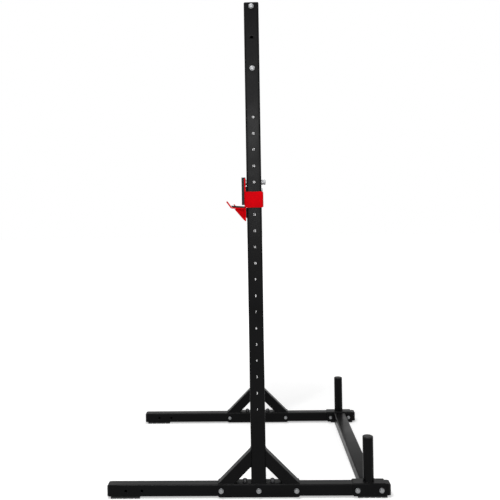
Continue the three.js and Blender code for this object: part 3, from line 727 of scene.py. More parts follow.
def mark_nodes(group, source):
    """A mask of short fine rubs and scratches, from noise drawn out along two axes."""
    place = source["Vector"]
    lines = math_node(group, "MAXIMUM", drawn_out(group, place, (60.0, 60.0, 900.0), 0.66, 0.72),
                      drawn_out(group, place, (900.0, 500.0, 40.0), 0.67, 0.73))
    places = ramp(group, noise(group, place, 9.0, detail=3.0), 0.45, 0.65)
    mask = math_node(group, "MULTIPLY", lines, places)
    return {"Mask": math_node(group, "MULTIPLY", mask, source["Amount"], clamp=True)}


EFFECTS = {
    "Coat peel": ({"Vector": "NodeSocketVector", "Scale": "NodeSocketFloat"}, peel_nodes),
    "Settled dust": ({"Vector": "NodeSocketVector", "Normal": "NodeSocketVector",
                      "Amount": "NodeSocketFloat"}, dust_nodes),
    "Handling marks": ({"Vector": "NodeSocketVector", "Amount": "NodeSocketFloat"}, mark_nodes),
}


def applied(tree, name, **inputs):
    """The outputs of an effect that is placed in a material with its own values."""
    group = effect(name, *EFFECTS[name])
    return new_node(tree, "ShaderNodeGroup", inputs, node_tree=group).outputs


def bumped(tree, height, strength, distance):
    """A normal from a height."""
    return new_node(tree, "ShaderNodeBump", {"Height": height, "Strength": strength,
                                             "Distance": distance}).outputs["Normal"]


def painted(tree, base, place, setting, specular, peel_scale, peel_depth, dust, marks):
    """A coated, moulded or printed finish: peel bump, broad gloss variation, dust and rub marks."""
    finish = settings("finish")
    normal = new_node(tree, "ShaderNodeNewGeometry").outputs["Normal"]
    peel = applied(tree, "Coat peel", Vector=place, Scale=peel_scale)
    settled = applied(tree, "Settled dust", Vector=place, Normal=normal, Amount=dust)["Mask"]
    rubbed = applied(tree, "Handling marks", Vector=place, Amount=marks)["Mask"]
    cloud = peel["Variation"]
    body = mixed(tree, cloud, shaded(base, COAT_DARK), shaded(base, COAT_LIGHT))
    scuffed = mixed(tree, rubbed, body, shaded(base, RUB_LEVEL, RUB_LIFT))
    rough = getattr(finish, setting + "_roughness") - CLOUD_ROUGHNESS / 2
    rough = plus(tree, plus(tree, rough, cloud, CLOUD_ROUGHNESS), rubbed, RUB_ROUGHNESS)
    return {"Base Color": mixed(tree, settled, scuffed, finish.dust),
            "Roughness": plus(tree, rough, settled, DUST_ROUGHNESS, clamp=True),
            "Specular IOR Level": specular,
            "Normal": bumped(tree, peel["Height"], PEEL_STRENGTH, peel_depth)}


def plated(tree, base, place):
    """Plated or blackened steel: fine grain and cloudy gloss, with darker handling marks."""
    cloud = ramp(tree, noise(tree, place, 160.0, detail=4.0), 0.3, 0.75)
    rubbed = applied(tree, "Handling marks", Vector=place, Amount=METAL_MARKS)["Mask"]
    body = mixed(tree, cloud, shaded(base, METAL_DARK), base)
    rough = settings("finish").metal_roughness
    grain = noise(tree, place, GRAIN_SCALE, detail=2.0)
    return {"Base Color": mixed(tree, rubbed, body, shaded(base, METAL_RUBBED)),
            "Roughness": plus(tree, rough, cloud, METAL_CLOUD_ROUGHNESS),
            "Metallic": 1.0,
            "Normal": bumped(tree, grain, GRAIN_STRENGTH, GRAIN_DEPTH)}


def material(name):
    """The material of a finish, made when it is first asked for unless the frame holds it."""
    if name in bpy.data.materials:
        return bpy.data.materials[name]
    setting = METALS[name] if name in METALS else PAINTED[name]["setting"]
    base = tuple(getattr(settings("finish"), setting))
    made = bpy.data.materials.new(name)
    made.use_nodes = True
    made.diffuse_color = (*base, 1.0)
    tree = made.node_tree
    place = new_node(tree, "ShaderNodeTexCoord").outputs["Object"]
    if name in METALS:
        inputs = plated(tree, base, place)
    else:
        inputs = painted(tree, base, place, **PAINTED[name])
    feed(tree, inputs, tree.nodes["Principled BSDF"].inputs)
    return made


# Pieces

def numbered_heights():
    """Heights of the numbered holes, lowest first."""
    tubes = settings("tubes")
    return [tubes.first_pin + index * tubes.pin_pitch for index in range(tubes.pin_count)]


class STAND_OT_uprights(bpy.types.Operator):
    """Make the two uprights, box tubes with numbered pin holes and bolt holes at the top"""

    bl_idname = "stand.uprights"
    bl_label = "Uprights"

    def execute(self, context):
        tubes = settings("tubes")
        for side in SIDES:
            box = box_of(f"{side}_upright")
            lower, upper = (box_of(f"{side}_{bolt}").middle[2] for bolt in BAR_BOLTS)
            holes = [(0, z - box.low[2], tubes.pin_hole / 2) for z in numbered_heights()]
            holes += [(1, z - box.low[2], tubes.bolt_hole / 2)
                      for z in (lower, (lower + upper) / 2, upper)]
            tube = box_tube(box.size[0], box.size[1], tubes.upright_corner, box.size[2], holes)
            add_piece(f"{side}_upright_tube", [tube], f"{side}_upright", origin=box.foot)
        return {"FINISHED"}


def number_shell(number, tubes):
    """A number's text as a thin closed shell, centred on the origin and facing +Z."""
    text = bpy.data.curves.new("Number", "FONT")
    text.body = str(number)
    text.size = tubes.number_height
    text.align_x = "CENTER"
    text.align_y = "CENTER"
    text.extrude = tubes.print_lift
    text.offset = tubes.number_weight
    holder = bpy.data.objects.new("Number", text)
    bpy.context.scene.collection.objects.link(holder)
    made = holder.evaluated_get(bpy.context.evaluated_depsgraph_get()).to_mesh()
    made.calc_loop_triangles()
    points = np.empty(len(made.vertices) * 3)
    made.vertices.foreach_get("co", points)
    faces = np.empty(len(made.loop_triangles) * 3, dtype=np.int32)
    made.loop_triangles.foreach_get("vertices", faces)
    bpy.data.objects.remove(holder)
    bpy.data.curves.remove(text)
    faces = faces.reshape(-1, 3)
    points = points.reshape(-1, 3) * (tubes.number_width, 1.0, 1.0)
    return points, np.column_stack([faces, faces[:, 2]])


class STAND_OT_numbers(bpy.types.Operator):
    """Print plain hole numbers on the outer face of each upright"""

    bl_idname = "stand.numbers"
    bl_label = "Hole numbers"

    def execute(self, context):
        tubes = settings("tubes")
        for side, out in SIDES.items():
            box = box_of(f"{side}_upright")
            face = box.low[1] if out < 0 else box.high[1]
            axes = ((-out, 0, 0), (0, 0, 1), (0, out, 0))
            shells = [placed(number_shell(number, tubes), axes, (box.middle[0], face, height))
                      for number, height in enumerate(numbered_heights(), 1)]
            add_piece(f"{side}_hole_numbers", shells, finish="white_print")
        return {"FINISHED"}


class STAND_OT_rails(bpy.types.Operator):
    """Make the floor rails, with their bolt holes and the two spare holes at the front"""

    bl_idname = "stand.rails"
    bl_label = "Floor rails"

    def execute(self, context):
        tubes = settings("tubes")
        radius = tubes.bolt_hole / 2
        for side in SIDES:
            box = box_of(f"{side}_rail")
            start = box.low[0]
            across = [box_of(f"{side}_{bolt}").middle[0] - start for bolt in RAIL_BOLTS]
            across += [tubes.spare_inset, tubes.spare_inset + tubes.spare_pitch]
            holes = [(0, x, radius) for x in sorted(across)]
            holes += [(1, box_of(f"{side}_anchor_bolt_{end}").middle[0] - start, radius) for end in ENDS]
            tube = box_tube(box.size[1], box.size[2], tubes.rail_corner, box.size[0], holes)
            add_piece(f"{side}_rail_tube", [tube], f"{side}_rail", axes=RAIL_AXES,
                      origin=(start, box.middle[1], box.middle[2]))
        return {"FINISHED"}


def add_cross_tube(node, welds, tube, inset, outline, sheet):
    """A tube across the stand, with a plate at each end and a bead of its outline on each plate."""
    tubes, box = settings("tubes"), box_of(node)

    def crossed(shell, y):
        return placed(shell, CROSS_AXES, (box.middle[0], y, box.middle[2]))

    plate = slab(box.size[2], box.size[0], tubes.rail_corner, sheet, tubes.rim)
    seam = bead(lifted(outline, 0.0), UP)
    ends = (box.low[1], box.high[1] - sheet)
    faces = (box.low[1] + sheet, box.high[1] - sheet)
    shells = [crossed(tube, box.low[1] + inset), *(crossed(plate, y) for y in ends)]
    add_piece(f"{node}_tube", shells, node)
    add_piece(welds, [crossed(seam, y) for y in faces])


class STAND_OT_crossmember(bpy.types.Operator):
    """Make the rear crossmember: a box tube with a welded flange at each end"""

    bl_idname = "stand.crossmember"
    bl_label = "Rear crossmember"

    def execute(self, context):
        tubes = settings("tubes")
        _, width, height = box_of("rear_crossmember").size
        section = (height, tubes.cross_depth, tubes.rail_corner)
        tube = box_tube(*section, width - 2 * tubes.flange)
        add_cross_tube("rear_crossmember", "crossmember_welds", tube, tubes.flange,
                       box_outline(*section), tubes.flange)
        return {"FINISHED"}


def brace_loops(node, inset, forward):
    """Where a brace's outline, drawn in by inset, meets the saddle and the upright.

    The outline (u, v) stands across a line at 45 degrees through the tube's middle. Each of its points
    slides along that line to the plane z = saddle and to the plane x = upright, counted from the
    upright's face outwards and from the saddle up.
    """
    box = box_of(node)
    section = box.size[1] - 2 * inset
    outline = box_outline(section, section, settings("tubes").rail_corner - inset)
    reach = box.size[2] + (2 * outline[:, 0] - box.size[1]) * math.sqrt(0.5)
    nothing = np.zeros(len(outline))
    axes = ((-1 if forward else 1, 0, 0), (0, 1, 0), (0, 0, 1))
    origin = ((box.high if forward else box.low)[0], box.middle[1], box.low[2])
    return (np.column_stack([reach, outline[:, 1], nothing]) @ np.array(axes) + origin,
            np.column_stack([nothing, outline[:, 1], reach]) @ np.array(axes) + origin)


class STAND_OT_braces(bpy.types.Operator):
    """Make the mitred braces between the uprights and their saddles, with their welds"""

    bl_idname = "stand.braces"
    bl_label = "Braces"

    def execute(self, context):
        tubes = settings("tubes")
        for side in SIDES:
            welds = []
            for end in ENDS:
                node = f"{side}_brace_{end}"
                foot, head = brace_loops(node, 0.0, end == "front")
                inner_foot, inner_head = brace_loops(node, tubes.wall, end == "front")
                tube = skin(np.array([foot, head, inner_head, inner_foot]), closed=True)
                add_piece(f"{node}_tube", [tube], node)
                welds += [bead(foot, UP), bead(head, (1, 0, 0))]
            box = box_of(f"{side}_upright")
            ring = lifted(box_outline(*box.size[:2], tubes.upright_corner), 0.0)
            welds.append(bead(ring + box.foot, UP))
            add_piece(f"{side}_base_welds", welds)
        return {"FINISHED"}


def saddle_shell(node):
    """A sheet folded over the rail: a path up one skirt, across the top and down the other.

    At each point of the path stands the sheet from end to end, and near the skirts' feet its ends draw
    in along a quarter circle.
    """
    tubes, box = settings("tubes"), box_of(node)
    half = (box.size[1] - tubes.saddle_sheet) / 2
    foot, top = box.low[2], box.high[2] - tubes.saddle_sheet / 2
    path, along = folded_path([(-half, foot), (-half, top), (half, top), (half, foot)],
                              tubes.saddle_bend)
    steps = rounded_steps(tubes.saddle_corner)[1:]
    skirt = np.column_stack([np.full(len(steps), -half), foot + steps])
    path = np.concatenate([path[:1], skirt, path[1:-1], (skirt * (-1.0, 1.0))[::-1], path[-1:]])
    along = np.pad(along, ((len(steps), len(steps)), (0, 0)), "edge")
    fall = rounded_off(path[:, 1] - foot, tubes.saddle_corner)
    return strip(sheet_sections(path, along, tubes.saddle_sheet, box.low[0] + fall,
                                box.high[0] - fall))


class STAND_OT_saddles(bpy.types.Operator):
    """Make the saddles that are folded over the rails, with rounded corners at their skirts' feet"""

    bl_idname = "stand.saddles"
    bl_label = "Saddles"

    def execute(self, context):
        for side in SIDES:
            node = f"{side}_saddle"
            add_piece(f"{node}_fold", [saddle_shell(node)], node, edge=settings("tubes").rim,
                      axes=RAIL_AXES, origin=(0.0, box_of(node).middle[1], 0.0))
        return {"FINISHED"}


# Shares of the way out at which the tops of the plugs are drawn
BOX_SHARES = (0.8, 0.55, 0.3, 0.1, 0.0)
POST_SHARES = (0.75, 0.5, 0.25, 0.0)


def plug_shell(outline, inset, insert, head, dome, steps, shares):
    """An end plug from its insert's foot up: a straight insert and a head with a soft edge.

    outline(d) is the tube's outline drawn in by d. The head's edge is inset + dome * (1 - cos a) at
    dome * sin a above its straight side, and the top rises to its middle by crown * (1 - s^2), where
    s is the share of the way out.
    """
    crown = settings("plugs").crown
    inside = settings("tubes").wall + SEAT_GAP
    base, soft = insert + head - dome, dome - crown
    levels = [(inside, 0.0), (inside, insert), (inset, insert)]
    levels += [(inset + dome * (1 - math.cos(a)), base + soft * math.sin(a)) for a in quarter(steps)]
    rings = [lifted(outline(d), z) for d, z in levels]
    rings += [lifted(rings[-1][:, :2] * s, base + soft + crown * (1 - s * s)) for s in shares]
    return solid(np.array(rings))


def box_plug(size_x, size_y, corner, head, dome, insert):
    """The plug of a box tube."""
    def outline(inset):
        return box_outline(size_x - 2 * inset, size_y - 2 * inset, max(corner - inset, LEAST_CORNER))

    return plug_shell(outline, settings("plugs").inset, insert, head, dome, EDGE_STEPS, BOX_SHARES)


class STAND_OT_plate_posts(bpy.types.Operator):
    """Make the plate storage posts, with their domed plugs and welds"""

    bl_idname = "stand.plate_posts"
    bl_label = "Plate posts"

    def execute(self, context):
        tubes, plugs = settings("tubes"), settings("plugs")
        for side in SIDES:
            box = box_of(f"{side}_plate_post")
            outer, height = box.size[0] / 2, box.size[2]
            inner = outer - tubes.wall
            rim = soft_edge(tubes.rim)
            profile = [(inner, 0.0), (outer, 0.0)]
            profile += [(outer - inset, height - z) for inset, z in reversed(rim)]
            profile += [(inner + inset, height - z) for inset, z in rim]
            add_piece(f"{side}_plate_post_tube", [turned(profile, closed=True)],
                      f"{side}_plate_post", origin=box.foot)
            add_piece(f"{side}_post_weld", [bead(lifted(circle(outer), 0.0) + box.foot, UP)])
            plug = box_of(f"{side}_post_plug")
            shell = plug_shell(lambda inset: circle(outer - inset), 0.0, plug.size[2] - plugs.post_head,
                               plugs.post_head, plugs.post_dome, DOME_STEPS, POST_SHARES)
            add_piece(f"{side}_post_cap", [shell], f"{side}_post_plug", "moulded_plastic",
                      origin=(box.foot[0], box.foot[1], plug.low[2]))
        return {"FINISHED"}


class STAND_OT_end_plugs(bpy.types.Operator):
    """Make the plastic plugs in the ends of the rails and the tops of the uprights"""

    bl_idname = "stand.end_plugs"
    bl_label = "End plugs"

    def execute(self, context):
        tubes, plugs = settings("tubes"), settings("plugs")
        for side in SIDES:
            _, width, height = box_of(f"{side}_rail").size
            for end, sign in ENDS.items():
                node = f"{side}_rail_plug_{end}"
                plug = box_of(node)
                shell = box_plug(height, width, tubes.rail_corner, plugs.rail_head, plugs.rail_dome,
                                 plug.size[0] - plugs.rail_head)
                start = (plug.low if sign > 0 else plug.high)[0]
                add_piece(f"{side}_rail_cap_{end}", [shell], node, "moulded_plastic",
                          axes=(UP, (0, 1, 0), (sign, 0, 0)),
                          origin=(start, plug.middle[1], plug.middle[2]))
            node = f"{side}_upright_plug"
            plug, upright = box_of(node), box_of(f"{side}_upright")
            shell = box_plug(*upright.size[:2], tubes.upright_corner, plugs.upright_head,
                             plugs.upright_dome, plug.size[2] - plugs.upright_head)
            add_piece(f"{side}_upright_cap", [shell], node, "moulded_plastic", origin=plug.foot)
        return {"FINISHED"}


# Bolts: chamfer levels and flat of a hexagon, lead-in of a nut's bore, soft edges and run-outs
CHAMFER_LEVELS = np.array([0.0, 0.0003, 0.0006, 0.0009, 0.0013])
HEXAGON_FLAT = 0.48
LEAD_IN = 0.0006
LEAD_FLARE = 1.08
WASHER_EDGE = 0.2
THREAD_START = 0.0006
THREAD_END = 0.001
TIP_DEPTH = 1.3
ANCHOR_EDGE = 0.0004
ANCHOR_SIDE = 0.2
ANCHOR_SWEEP = 0.98


def hexagon(across, bottom, top, bore=0.0):
    """A bolt head, or a nut where it has a bore: a hexagon whose corners are turned off by a cone.

    The hexagon is (across / 2) / cos(offset), and radius(t, z) is the lesser of it and the end's flat
    + (distance below the end) * tan 60. A nut is turned off at both ends.
    """
    turn = np.arange(BOLT_STEPS) * TURN / BOLT_STEPS
    side = across / 2 / np.cos(np.mod(turn, TURN / 6) - TURN / 12)
    levels = np.concatenate([bottom + CHAMFER_LEVELS if bore else [bottom], top - CHAMFER_LEVELS[::-1]])
    below = np.minimum(top - levels, levels - bottom) if bore else top - levels
    radius = np.minimum(side, HEXAGON_FLAT * across + below[:, None] * math.tan(math.pi / 3))
    rings = lifted(circle(radius, BOLT_STEPS), levels)
    if not bore:
        return solid(rings)
    wide = bore * LEAD_FLARE
    lead = np.array([(wide, top), (bore, top - LEAD_IN), (bore, bottom + LEAD_IN), (wide, bottom)])
    inside = lifted(circle(lead[:, :1], BOLT_STEPS), lead[:, 1])
    return skin(np.concatenate([rings, inside]), closed=True)


def washer(bottom):
    """A flat washer with a slightly rolled edge."""
    bolts = settings("fasteners")
    radius, bore, sheet = bolts.washer / 2, bolts.shank / 2 + SHANK_GAP, bolts.washer_sheet
    soft = sheet * WASHER_EDGE
    profile = [(bore, bottom), (radius - soft, bottom), (radius, bottom + soft),
               (radius, bottom + sheet - soft), (radius - soft, bottom + sheet), (bore, bottom + sheet)]
    return turned(profile, closed=True)


def rod(bottom, top, thread_top):
    """A bolt's shank with a rolled thread: radius = r - depth * |2 frac(z / pitch - t / 2 pi) - 1|."""
    bolts = settings("fasteners")
    threaded = np.arange(bottom + THREAD_START, thread_top, bolts.thread_pitch / TURN_RINGS)
    levels = np.concatenate([[bottom], threaded, [thread_top, top]])
    turn = np.arange(THREAD_STEPS) / THREAD_STEPS
    depth = bolts.thread_depth * np.abs(2 * np.mod(levels[:, None] / bolts.thread_pitch - turn, 1.0) - 1)
    depth[-2:] = 0.0
    depth[0] = bolts.thread_depth * TIP_DEPTH
    return solid(lifted(circle(bolts.shank / 2 - depth, THREAD_STEPS), levels))


def cross_bolt(grip):
    """A hexagon bolt with its washer and nut: clamp face at zero, head above, thread below."""
    bolts = settings("fasteners")
    seat = SEAT_GAP + bolts.washer_sheet
    nut_top = -grip - SEAT_GAP
    nut_bottom = nut_top - bolts.nut
    return [
        rod(nut_bottom - bolts.tail, seat + bolts.head / 2, nut_top - THREAD_END),
        washer(SEAT_GAP),
        hexagon(bolts.across, seat, seat + bolts.head),
        hexagon(bolts.across, nut_bottom, nut_top, bolts.shank / 2 + SHANK_GAP),
    ]


def anchor_bolt(grip):
    """A round-headed bolt with its washer and nut: clamp face at zero, head above, thread below.

    The head's dome is r * cos(0.98 a) out at a height of h * (0.2 + 0.8 * sin a).
    """
    bolts = settings("fasteners")
    radius, height = bolts.anchor_head / 2, bolts.anchor_head_height
    sweep = quarter(DOME_STEPS)
    dome = np.column_stack([radius * np.cos(sweep * ANCHOR_SWEEP),
                            height * (ANCHOR_SIDE + (1 - ANCHOR_SIDE) * np.sin(sweep))])
    profile = np.array([(0.0, 0.0), (radius - ANCHOR_EDGE, 0.0), (radius, ANCHOR_EDGE),
                        (radius, height * ANCHOR_SIDE), *dome, (0.0, height)])
    nut_top = -grip - SEAT_GAP
    nut_start = nut_top - bolts.washer_sheet
    return [
        rod(nut_top - bolts.nut - bolts.anchor_tail, SEAT_GAP + height / 2, nut_top - THREAD_END),
        turned(profile + (0.0, SEAT_GAP), BOLT_STEPS),
        washer(nut_start),
        hexagon(bolts.across, nut_start - bolts.nut, nut_start, bolts.shank / 2 + SHANK_GAP),
    ]


class STAND_OT_bolts(bpy.types.Operator):
    """Make every bolt with its washer, nut and thread"""

    bl_idname = "stand.bolts"
    bl_label = "Bolts"

    def execute(self, context):
        bolts = settings("fasteners")
        head = SEAT_GAP + bolts.washer_sheet + bolts.head
        tail = SEAT_GAP + bolts.nut + bolts.tail
        anchor_head = SEAT_GAP + bolts.anchor_head_height
        anchor_tail = SEAT_GAP + bolts.nut + bolts.anchor_tail
        for side, out in SIDES.items():
            for name in RAIL_BOLTS + BAR_BOLTS:
                node = f"{side}_{name}"
                box = box_of(node)
                clamp = (box.low if out < 0 else box.high)[1] - out * head
                add_piece(f"{node}_set", cross_bolt(box.size[1] - head - tail), node, "bright_zinc",
                          axes=((1, 0, 0), (0, 0, -out), (0, out, 0)),
                          origin=(box.middle[0], clamp, box.middle[2]))
            for end in ENDS:
                node = f"{side}_anchor_bolt_{end}"
                box = box_of(node)
                shells = anchor_bolt(box.size[2] - anchor_head - anchor_tail)
                add_piece(f"{node}_set", shells, node, "blackened_steel",
                          axes=((1, 0, 0), (0, -1, 0), (0, 0, -1)),
                          origin=box.foot + np.array((0.0, 0.0, anchor_head)))
        return {"FINISHED"}


class STAND_OT_pull_up_bar(bpy.types.Operator):
    """Make the pull-up bar with its bolted end plates and welds"""

    bl_idname = "stand.pull_up_bar"
    bl_label = "Pull-up bar"

    def execute(self, context):
        tubes = settings("tubes")
        radius, span = tubes.bar / 2, box_of("pull_up_bar").size[1]
        bore = radius - tubes.wall
        tube = turned([(bore, 0.0), (radius, 0.0), (radius, span), (bore, span)], closed=True)
        add_cross_tube("pull_up_bar", "pull_up_bar_welds", tube, 0.0, circle(radius), tubes.bar_plate)
        return {"FINISHED"}


def plate_front(hooks):
    """Where the front of the hook's back plate is."""
    return -(hooks.standoff + hooks.sheet)


def shelf_underside(hooks, reach):
    """Height of the shelf's underside at a distance in front of the upright."""
    slope = hooks.shelf_fall / (hooks.shelf_reach + plate_front(hooks))
    return -hooks.shelf_drop - hooks.sheet - slope * (hooks.shelf_reach - reach)


def hook_plate_shell(hooks):
    """The back plate with its ear, folded from one blank.

    A path runs across the plate, round the upright's outer side and in behind it. At each point of it
    stands a section whose top and foot follow the blank's outline.
    """
    half_sheet, half = hooks.sheet / 2, hooks.width / 2
    plate_x = -hooks.standoff - half_sheet
    steps = rounded_steps(hooks.corner)
    across = np.concatenate([steps, hooks.width - steps[::-1]])
    fall = rounded_off(np.minimum(across, hooks.width - across), hooks.corner)
    plate = np.column_stack([np.full(len(across), plate_x), half - across])
    ear_y = -half - hooks.ear_clearance - half_sheet
    end = box_of("left_upright").size[0] + hooks.ear_overhang
    ear_x = end - half_sheet
    path, along = folded_path([(plate_x, -half), (plate_x, ear_y), (ear_x, ear_y),
                               (ear_x, ear_y + hooks.lip)], hooks.bend)
    trim = rounded_off(end - (path[:, 0] + half_sheet), hooks.ear_corner)
    low = np.concatenate([-hooks.drop + fall, -hooks.ear_top - hooks.ear_height + trim])
    high = np.concatenate([hooks.rise - fall, -hooks.ear_top - trim])
    directions = np.concatenate([np.tile((0.0, -1.0), (len(across), 1)), along])
    return strip(sheet_sections(np.concatenate([plate, path]), directions, hooks.sheet, low, high))


def shelf_shell(hooks):
    """The shelf and its lip: a folded path in X and Z, carried across the hook's width."""
    rear = plate_front(hooks) - 2 * SEAT_GAP
    middle = hooks.sheet / 2
    front = shelf_underside(hooks, hooks.shelf_reach) + middle
    path, along = folded_path([
        (rear, shelf_underside(hooks, -rear) + middle),
        (-hooks.shelf_reach, front),
        (-hooks.shelf_reach - hooks.lip_run, front + hooks.lip_rise),
    ], hooks.shelf_bend)
    half = np.full(len(path), hooks.width / 2)
    points, quads = strip(sheet_sections(path, along, hooks.sheet, -half, half))
    return points[:, [0, 2, 1]], quads


def extruded(corners, half):
    """Rings of an outline in X and Z at half a width to either side."""
    x, z = np.array(corners, dtype=float).T
    return np.stack([np.column_stack([x, np.full(len(x), y), z]) for y in (-half, half)])


def hook_pin_shell(hooks):
    """The hook's pin along X: a shank with a collar, a groove and a chamfered end."""
    radius, collar, soft = hooks.pin / 2, hooks.collar / 2, hooks.pin_edge
    span = box_of("left_upright").size[0] - plate_front(hooks) + hooks.pin_proud
    start = hooks.sheet + SEAT_GAP
    end = start + hooks.collar_sheet
    groove_end = span - hooks.groove_inset
    groove = groove_end - hooks.groove_width
    deep = radius - hooks.groove_depth
    profile = [
        (0.0, 0.0), (radius - soft, 0.0), (radius, soft), (radius, start), (collar - soft, start),
        (collar, start + soft), (collar, end - soft), (collar - soft, end), (radius, end),
        (radius, groove - soft), (radius - soft, groove), (deep, groove), (deep, groove_end),
        (radius - soft, groove_end), (radius, groove_end + soft), (radius, span - hooks.pin_chamfer),
        (radius - hooks.pin_chamfer, span), (0.0, span),
    ]
    return placed(turned(profile, BOLT_STEPS), RAIL_AXES, (plate_front(hooks), 0.0, 0.0))


def back_liner_shell(hooks):
    """The back liner: a thick strip whose top hooks over the back plate, carried across the hook."""
    back = plate_front(hooks) - SEAT_GAP
    front = back - hooks.liner
    under = hooks.rise + SEAT_GAP
    corners = [(back, -hooks.liner_drop), (back, under), (-hooks.standoff, under),
               (-hooks.standoff, hooks.liner_rise), (front, hooks.liner_rise),
               (front, -hooks.liner_drop)]
    points, quads = skin(extruded(corners, hooks.width / 2))
    near = np.array([[0, 1, 4, 5], [1, 2, 3, 4]])
    return points, np.concatenate([quads, near[:, ::-1], near + len(corners)])


def shelf_liner_shell(hooks):
    """The shelf liner: a slab along the shelf's upper side, whose front end leans with the lip."""
    rear = plate_front(hooks) - SEAT_GAP
    front = hooks.shelf_reach - SEAT_GAP - hooks.shelf_bend / 2
    rise, sheet = hooks.sheet + SEAT_GAP, hooks.shelf_liner
    rear_z = shelf_underside(hooks, -rear) + rise
    front_z = shelf_underside(hooks, front) + rise
    lean = sheet * hooks.lip_run / hooks.lip_rise
    return solid(extruded([(rear, rear_z), (rear, rear_z + sheet), (-front - lean, front_z + sheet),
                           (-front, front_z)], hooks.width / 2))


def gusset_shell(hooks):
    """The gusset under the shelf, a plate with blunted corners."""
    rear, tip = plate_front(hooks) - SEAT_GAP, -hooks.gusset_reach
    rear_z, tip_z = (shelf_underside(hooks, -x) - 2 * SEAT_GAP for x in (rear, tip))
    return solid(extruded([(rear, rear_z), (tip, tip_z), (tip, tip_z - hooks.gusset_blunt),
                           (rear - hooks.gusset_blunt, -hooks.gusset_drop),
                           (rear, -hooks.gusset_drop)], hooks.sheet / 2))


def hook_weld_shells(hooks):
    """Beads under the shelf where it meets the back plate, and along both sides of the gusset."""
    welds = settings("welds")
    rear = plate_front(hooks) - SEAT_GAP
    half = hooks.width / 2 - welds.inset
    side = hooks.sheet / 2
    under = shelf_underside(hooks, -rear)
    tip = -hooks.gusset_reach + welds.gusset_inset
    runs = [((rear, y, under), (rear, y + half - side - welds.inset, under), UP)
            for y in (-half, side + welds.inset)]
    for y in (-side, side):
        foot = (rear, y, -hooks.gusset_drop + welds.gusset_inset)
        runs.append(((rear, y, under - welds.gusset_inset), foot, (0, 1, 0)))
        runs.append(((rear - welds.inset, y, under), (tip, y, shelf_underside(hooks, -tip)), (0, 1, 0)))
    return [bead([start, end], normal, closed=False) for start, end, normal in runs]


def bumper_shell(hooks):
    """The bumper behind the back plate, a soft-edged slab."""
    shell = slab(hooks.bumper_width, hooks.bumper_height, hooks.bumper_corner,
                 hooks.standoff - 2 * SEAT_GAP, hooks.edge)
    height = -hooks.bumper_top - hooks.bumper_height / 2
    return placed(shell, RAIL_AXES, (SEAT_GAP - hooks.standoff, 0.0, height))


# Each piece of a hook: its node, its name, its shape, its finish and whether its edges are softened
HOOK_PIECES = (
    ("hook_plate", "folded_plate", hook_plate_shell, "satin_red_coat", True),
    ("hook_shelf", "folded_shelf", shelf_shell, "satin_red_coat", True),
    ("hook_gusset", "gusset_plate", gusset_shell, "satin_red_coat", True),
    ("hook_pin", "turned_pin", hook_pin_shell, "bright_zinc", False),
    ("hook_back_liner", "back_pad", back_liner_shell, "moulded_plastic", True),
    ("hook_shelf_liner", "shelf_pad", shelf_liner_shell, "moulded_plastic", True),
    ("hook_bumper", "rear_bumper", bumper_shell, "black_rubber", False),
)


class STAND_OT_bar_hooks(bpy.types.Operator):
    """Make both bar hooks: folded plate, shelf, gusset, welds, pin, liners and bumper"""

    bl_idname = "stand.bar_hooks"
    bl_label = "Bar hooks"

    def execute(self, context):
        hooks = settings("hooks")
        for side, out in SIDES.items():
            upright = box_of(f"{side}_upright")
            origin = (upright.low[0], upright.middle[1], box_of(f"{side}_hook_pin").middle[2])
            axes = ((1, 0, 0), (0, -out, 0), UP)
            body = f"{side}_hook"
            for node, name, shape, finish, softened in HOOK_PIECES:
                add_piece(f"{body}_{name}", [shape(hooks)], f"{side}_{node}", finish, body,
                          hooks.edge if softened else 0.0, axes, origin)
            add_piece(f"{body}_welds", hook_weld_shells(hooks), None, "satin_red_coat", body,
                      axes=axes, origin=origin)
        return {"FINISHED"}


class STAND_OT_cad_pieces(bpy.types.Operator):
    """Finish the brackets and feet, which keep their CAD shapes"""

    bl_idname = "stand.cad_pieces"
    bl_label = "Brackets and feet"

    def execute(self, context):
        for side in SIDES:
            self.finish(f"{side}_post_bracket", "satin_black_coat")
            for end in ENDS:
                self.finish(f"{side}_foot_{end}", "black_rubber")
        return {"FINISHED"}

    def finish(self, name, finish):
        """Joins a CAD node's loose faces, clears its flat cuts, rounds its edges and coats it."""
        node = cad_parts[name]
        node.modifiers.new("Join faces", "WELD").merge_threshold = CAD_MERGE
        flatten = node.modifiers.new("Clear flats", "DECIMATE")
        flatten.decimate_type = "DISSOLVE"
        flatten.angle_limit = CAD_FLAT
        soften(node, CAD_EDGE)
        node.data.materials.clear()
        node.data.materials.append(material(finish))


# Stage

# Each lamp: its place, what it looks at, its width and its height, in metres
LAMPS = {
    "key": ((-0.9, -2.0, 4.6), (0.0, 0.0, 1.0), 1.6, 1.0),
    "front": ((0.05, -3.8, 2.05), (0.0, 0.0, 1.7), 0.5, 1.5),
    "overhead": ((0.2, 0.6, 4.6), (0.0, 0.2, 0.0), 3.0, 3.0),
}


def add_lamp(name, watts, place, target, width, height):
    """A soft rectangular lamp whose -Z looks at its target and whose Y leans up."""
    lamp = bpy.data.lights.new(name, "AREA")
    lamp.shape = "RECTANGLE"
    lamp.size = width
    lamp.size_y = height
    lamp.energy = watts
    holder = bpy.data.objects.new(name, lamp)
    facing = (Vector(target) - Vector(place)).to_track_quat("-Z", "Y")
    holder.matrix_world = Matrix.LocRotScale(place, facing, None)
    holder.visible_camera = False
    bpy.context.scene.collection.objects.link(holder)


def seen_ray(tree):
    """1 for rays that show the background: straight from the camera, mirrored or through glass."""
    path = new_node(tree, "ShaderNodeLightPath").outputs
    first = math_node(tree, "MAXIMUM", path["Is Camera Ray"], path["Is Glossy Ray"])
    return math_node(tree, "MAXIMUM", first, path["Is Transmission Ray"])


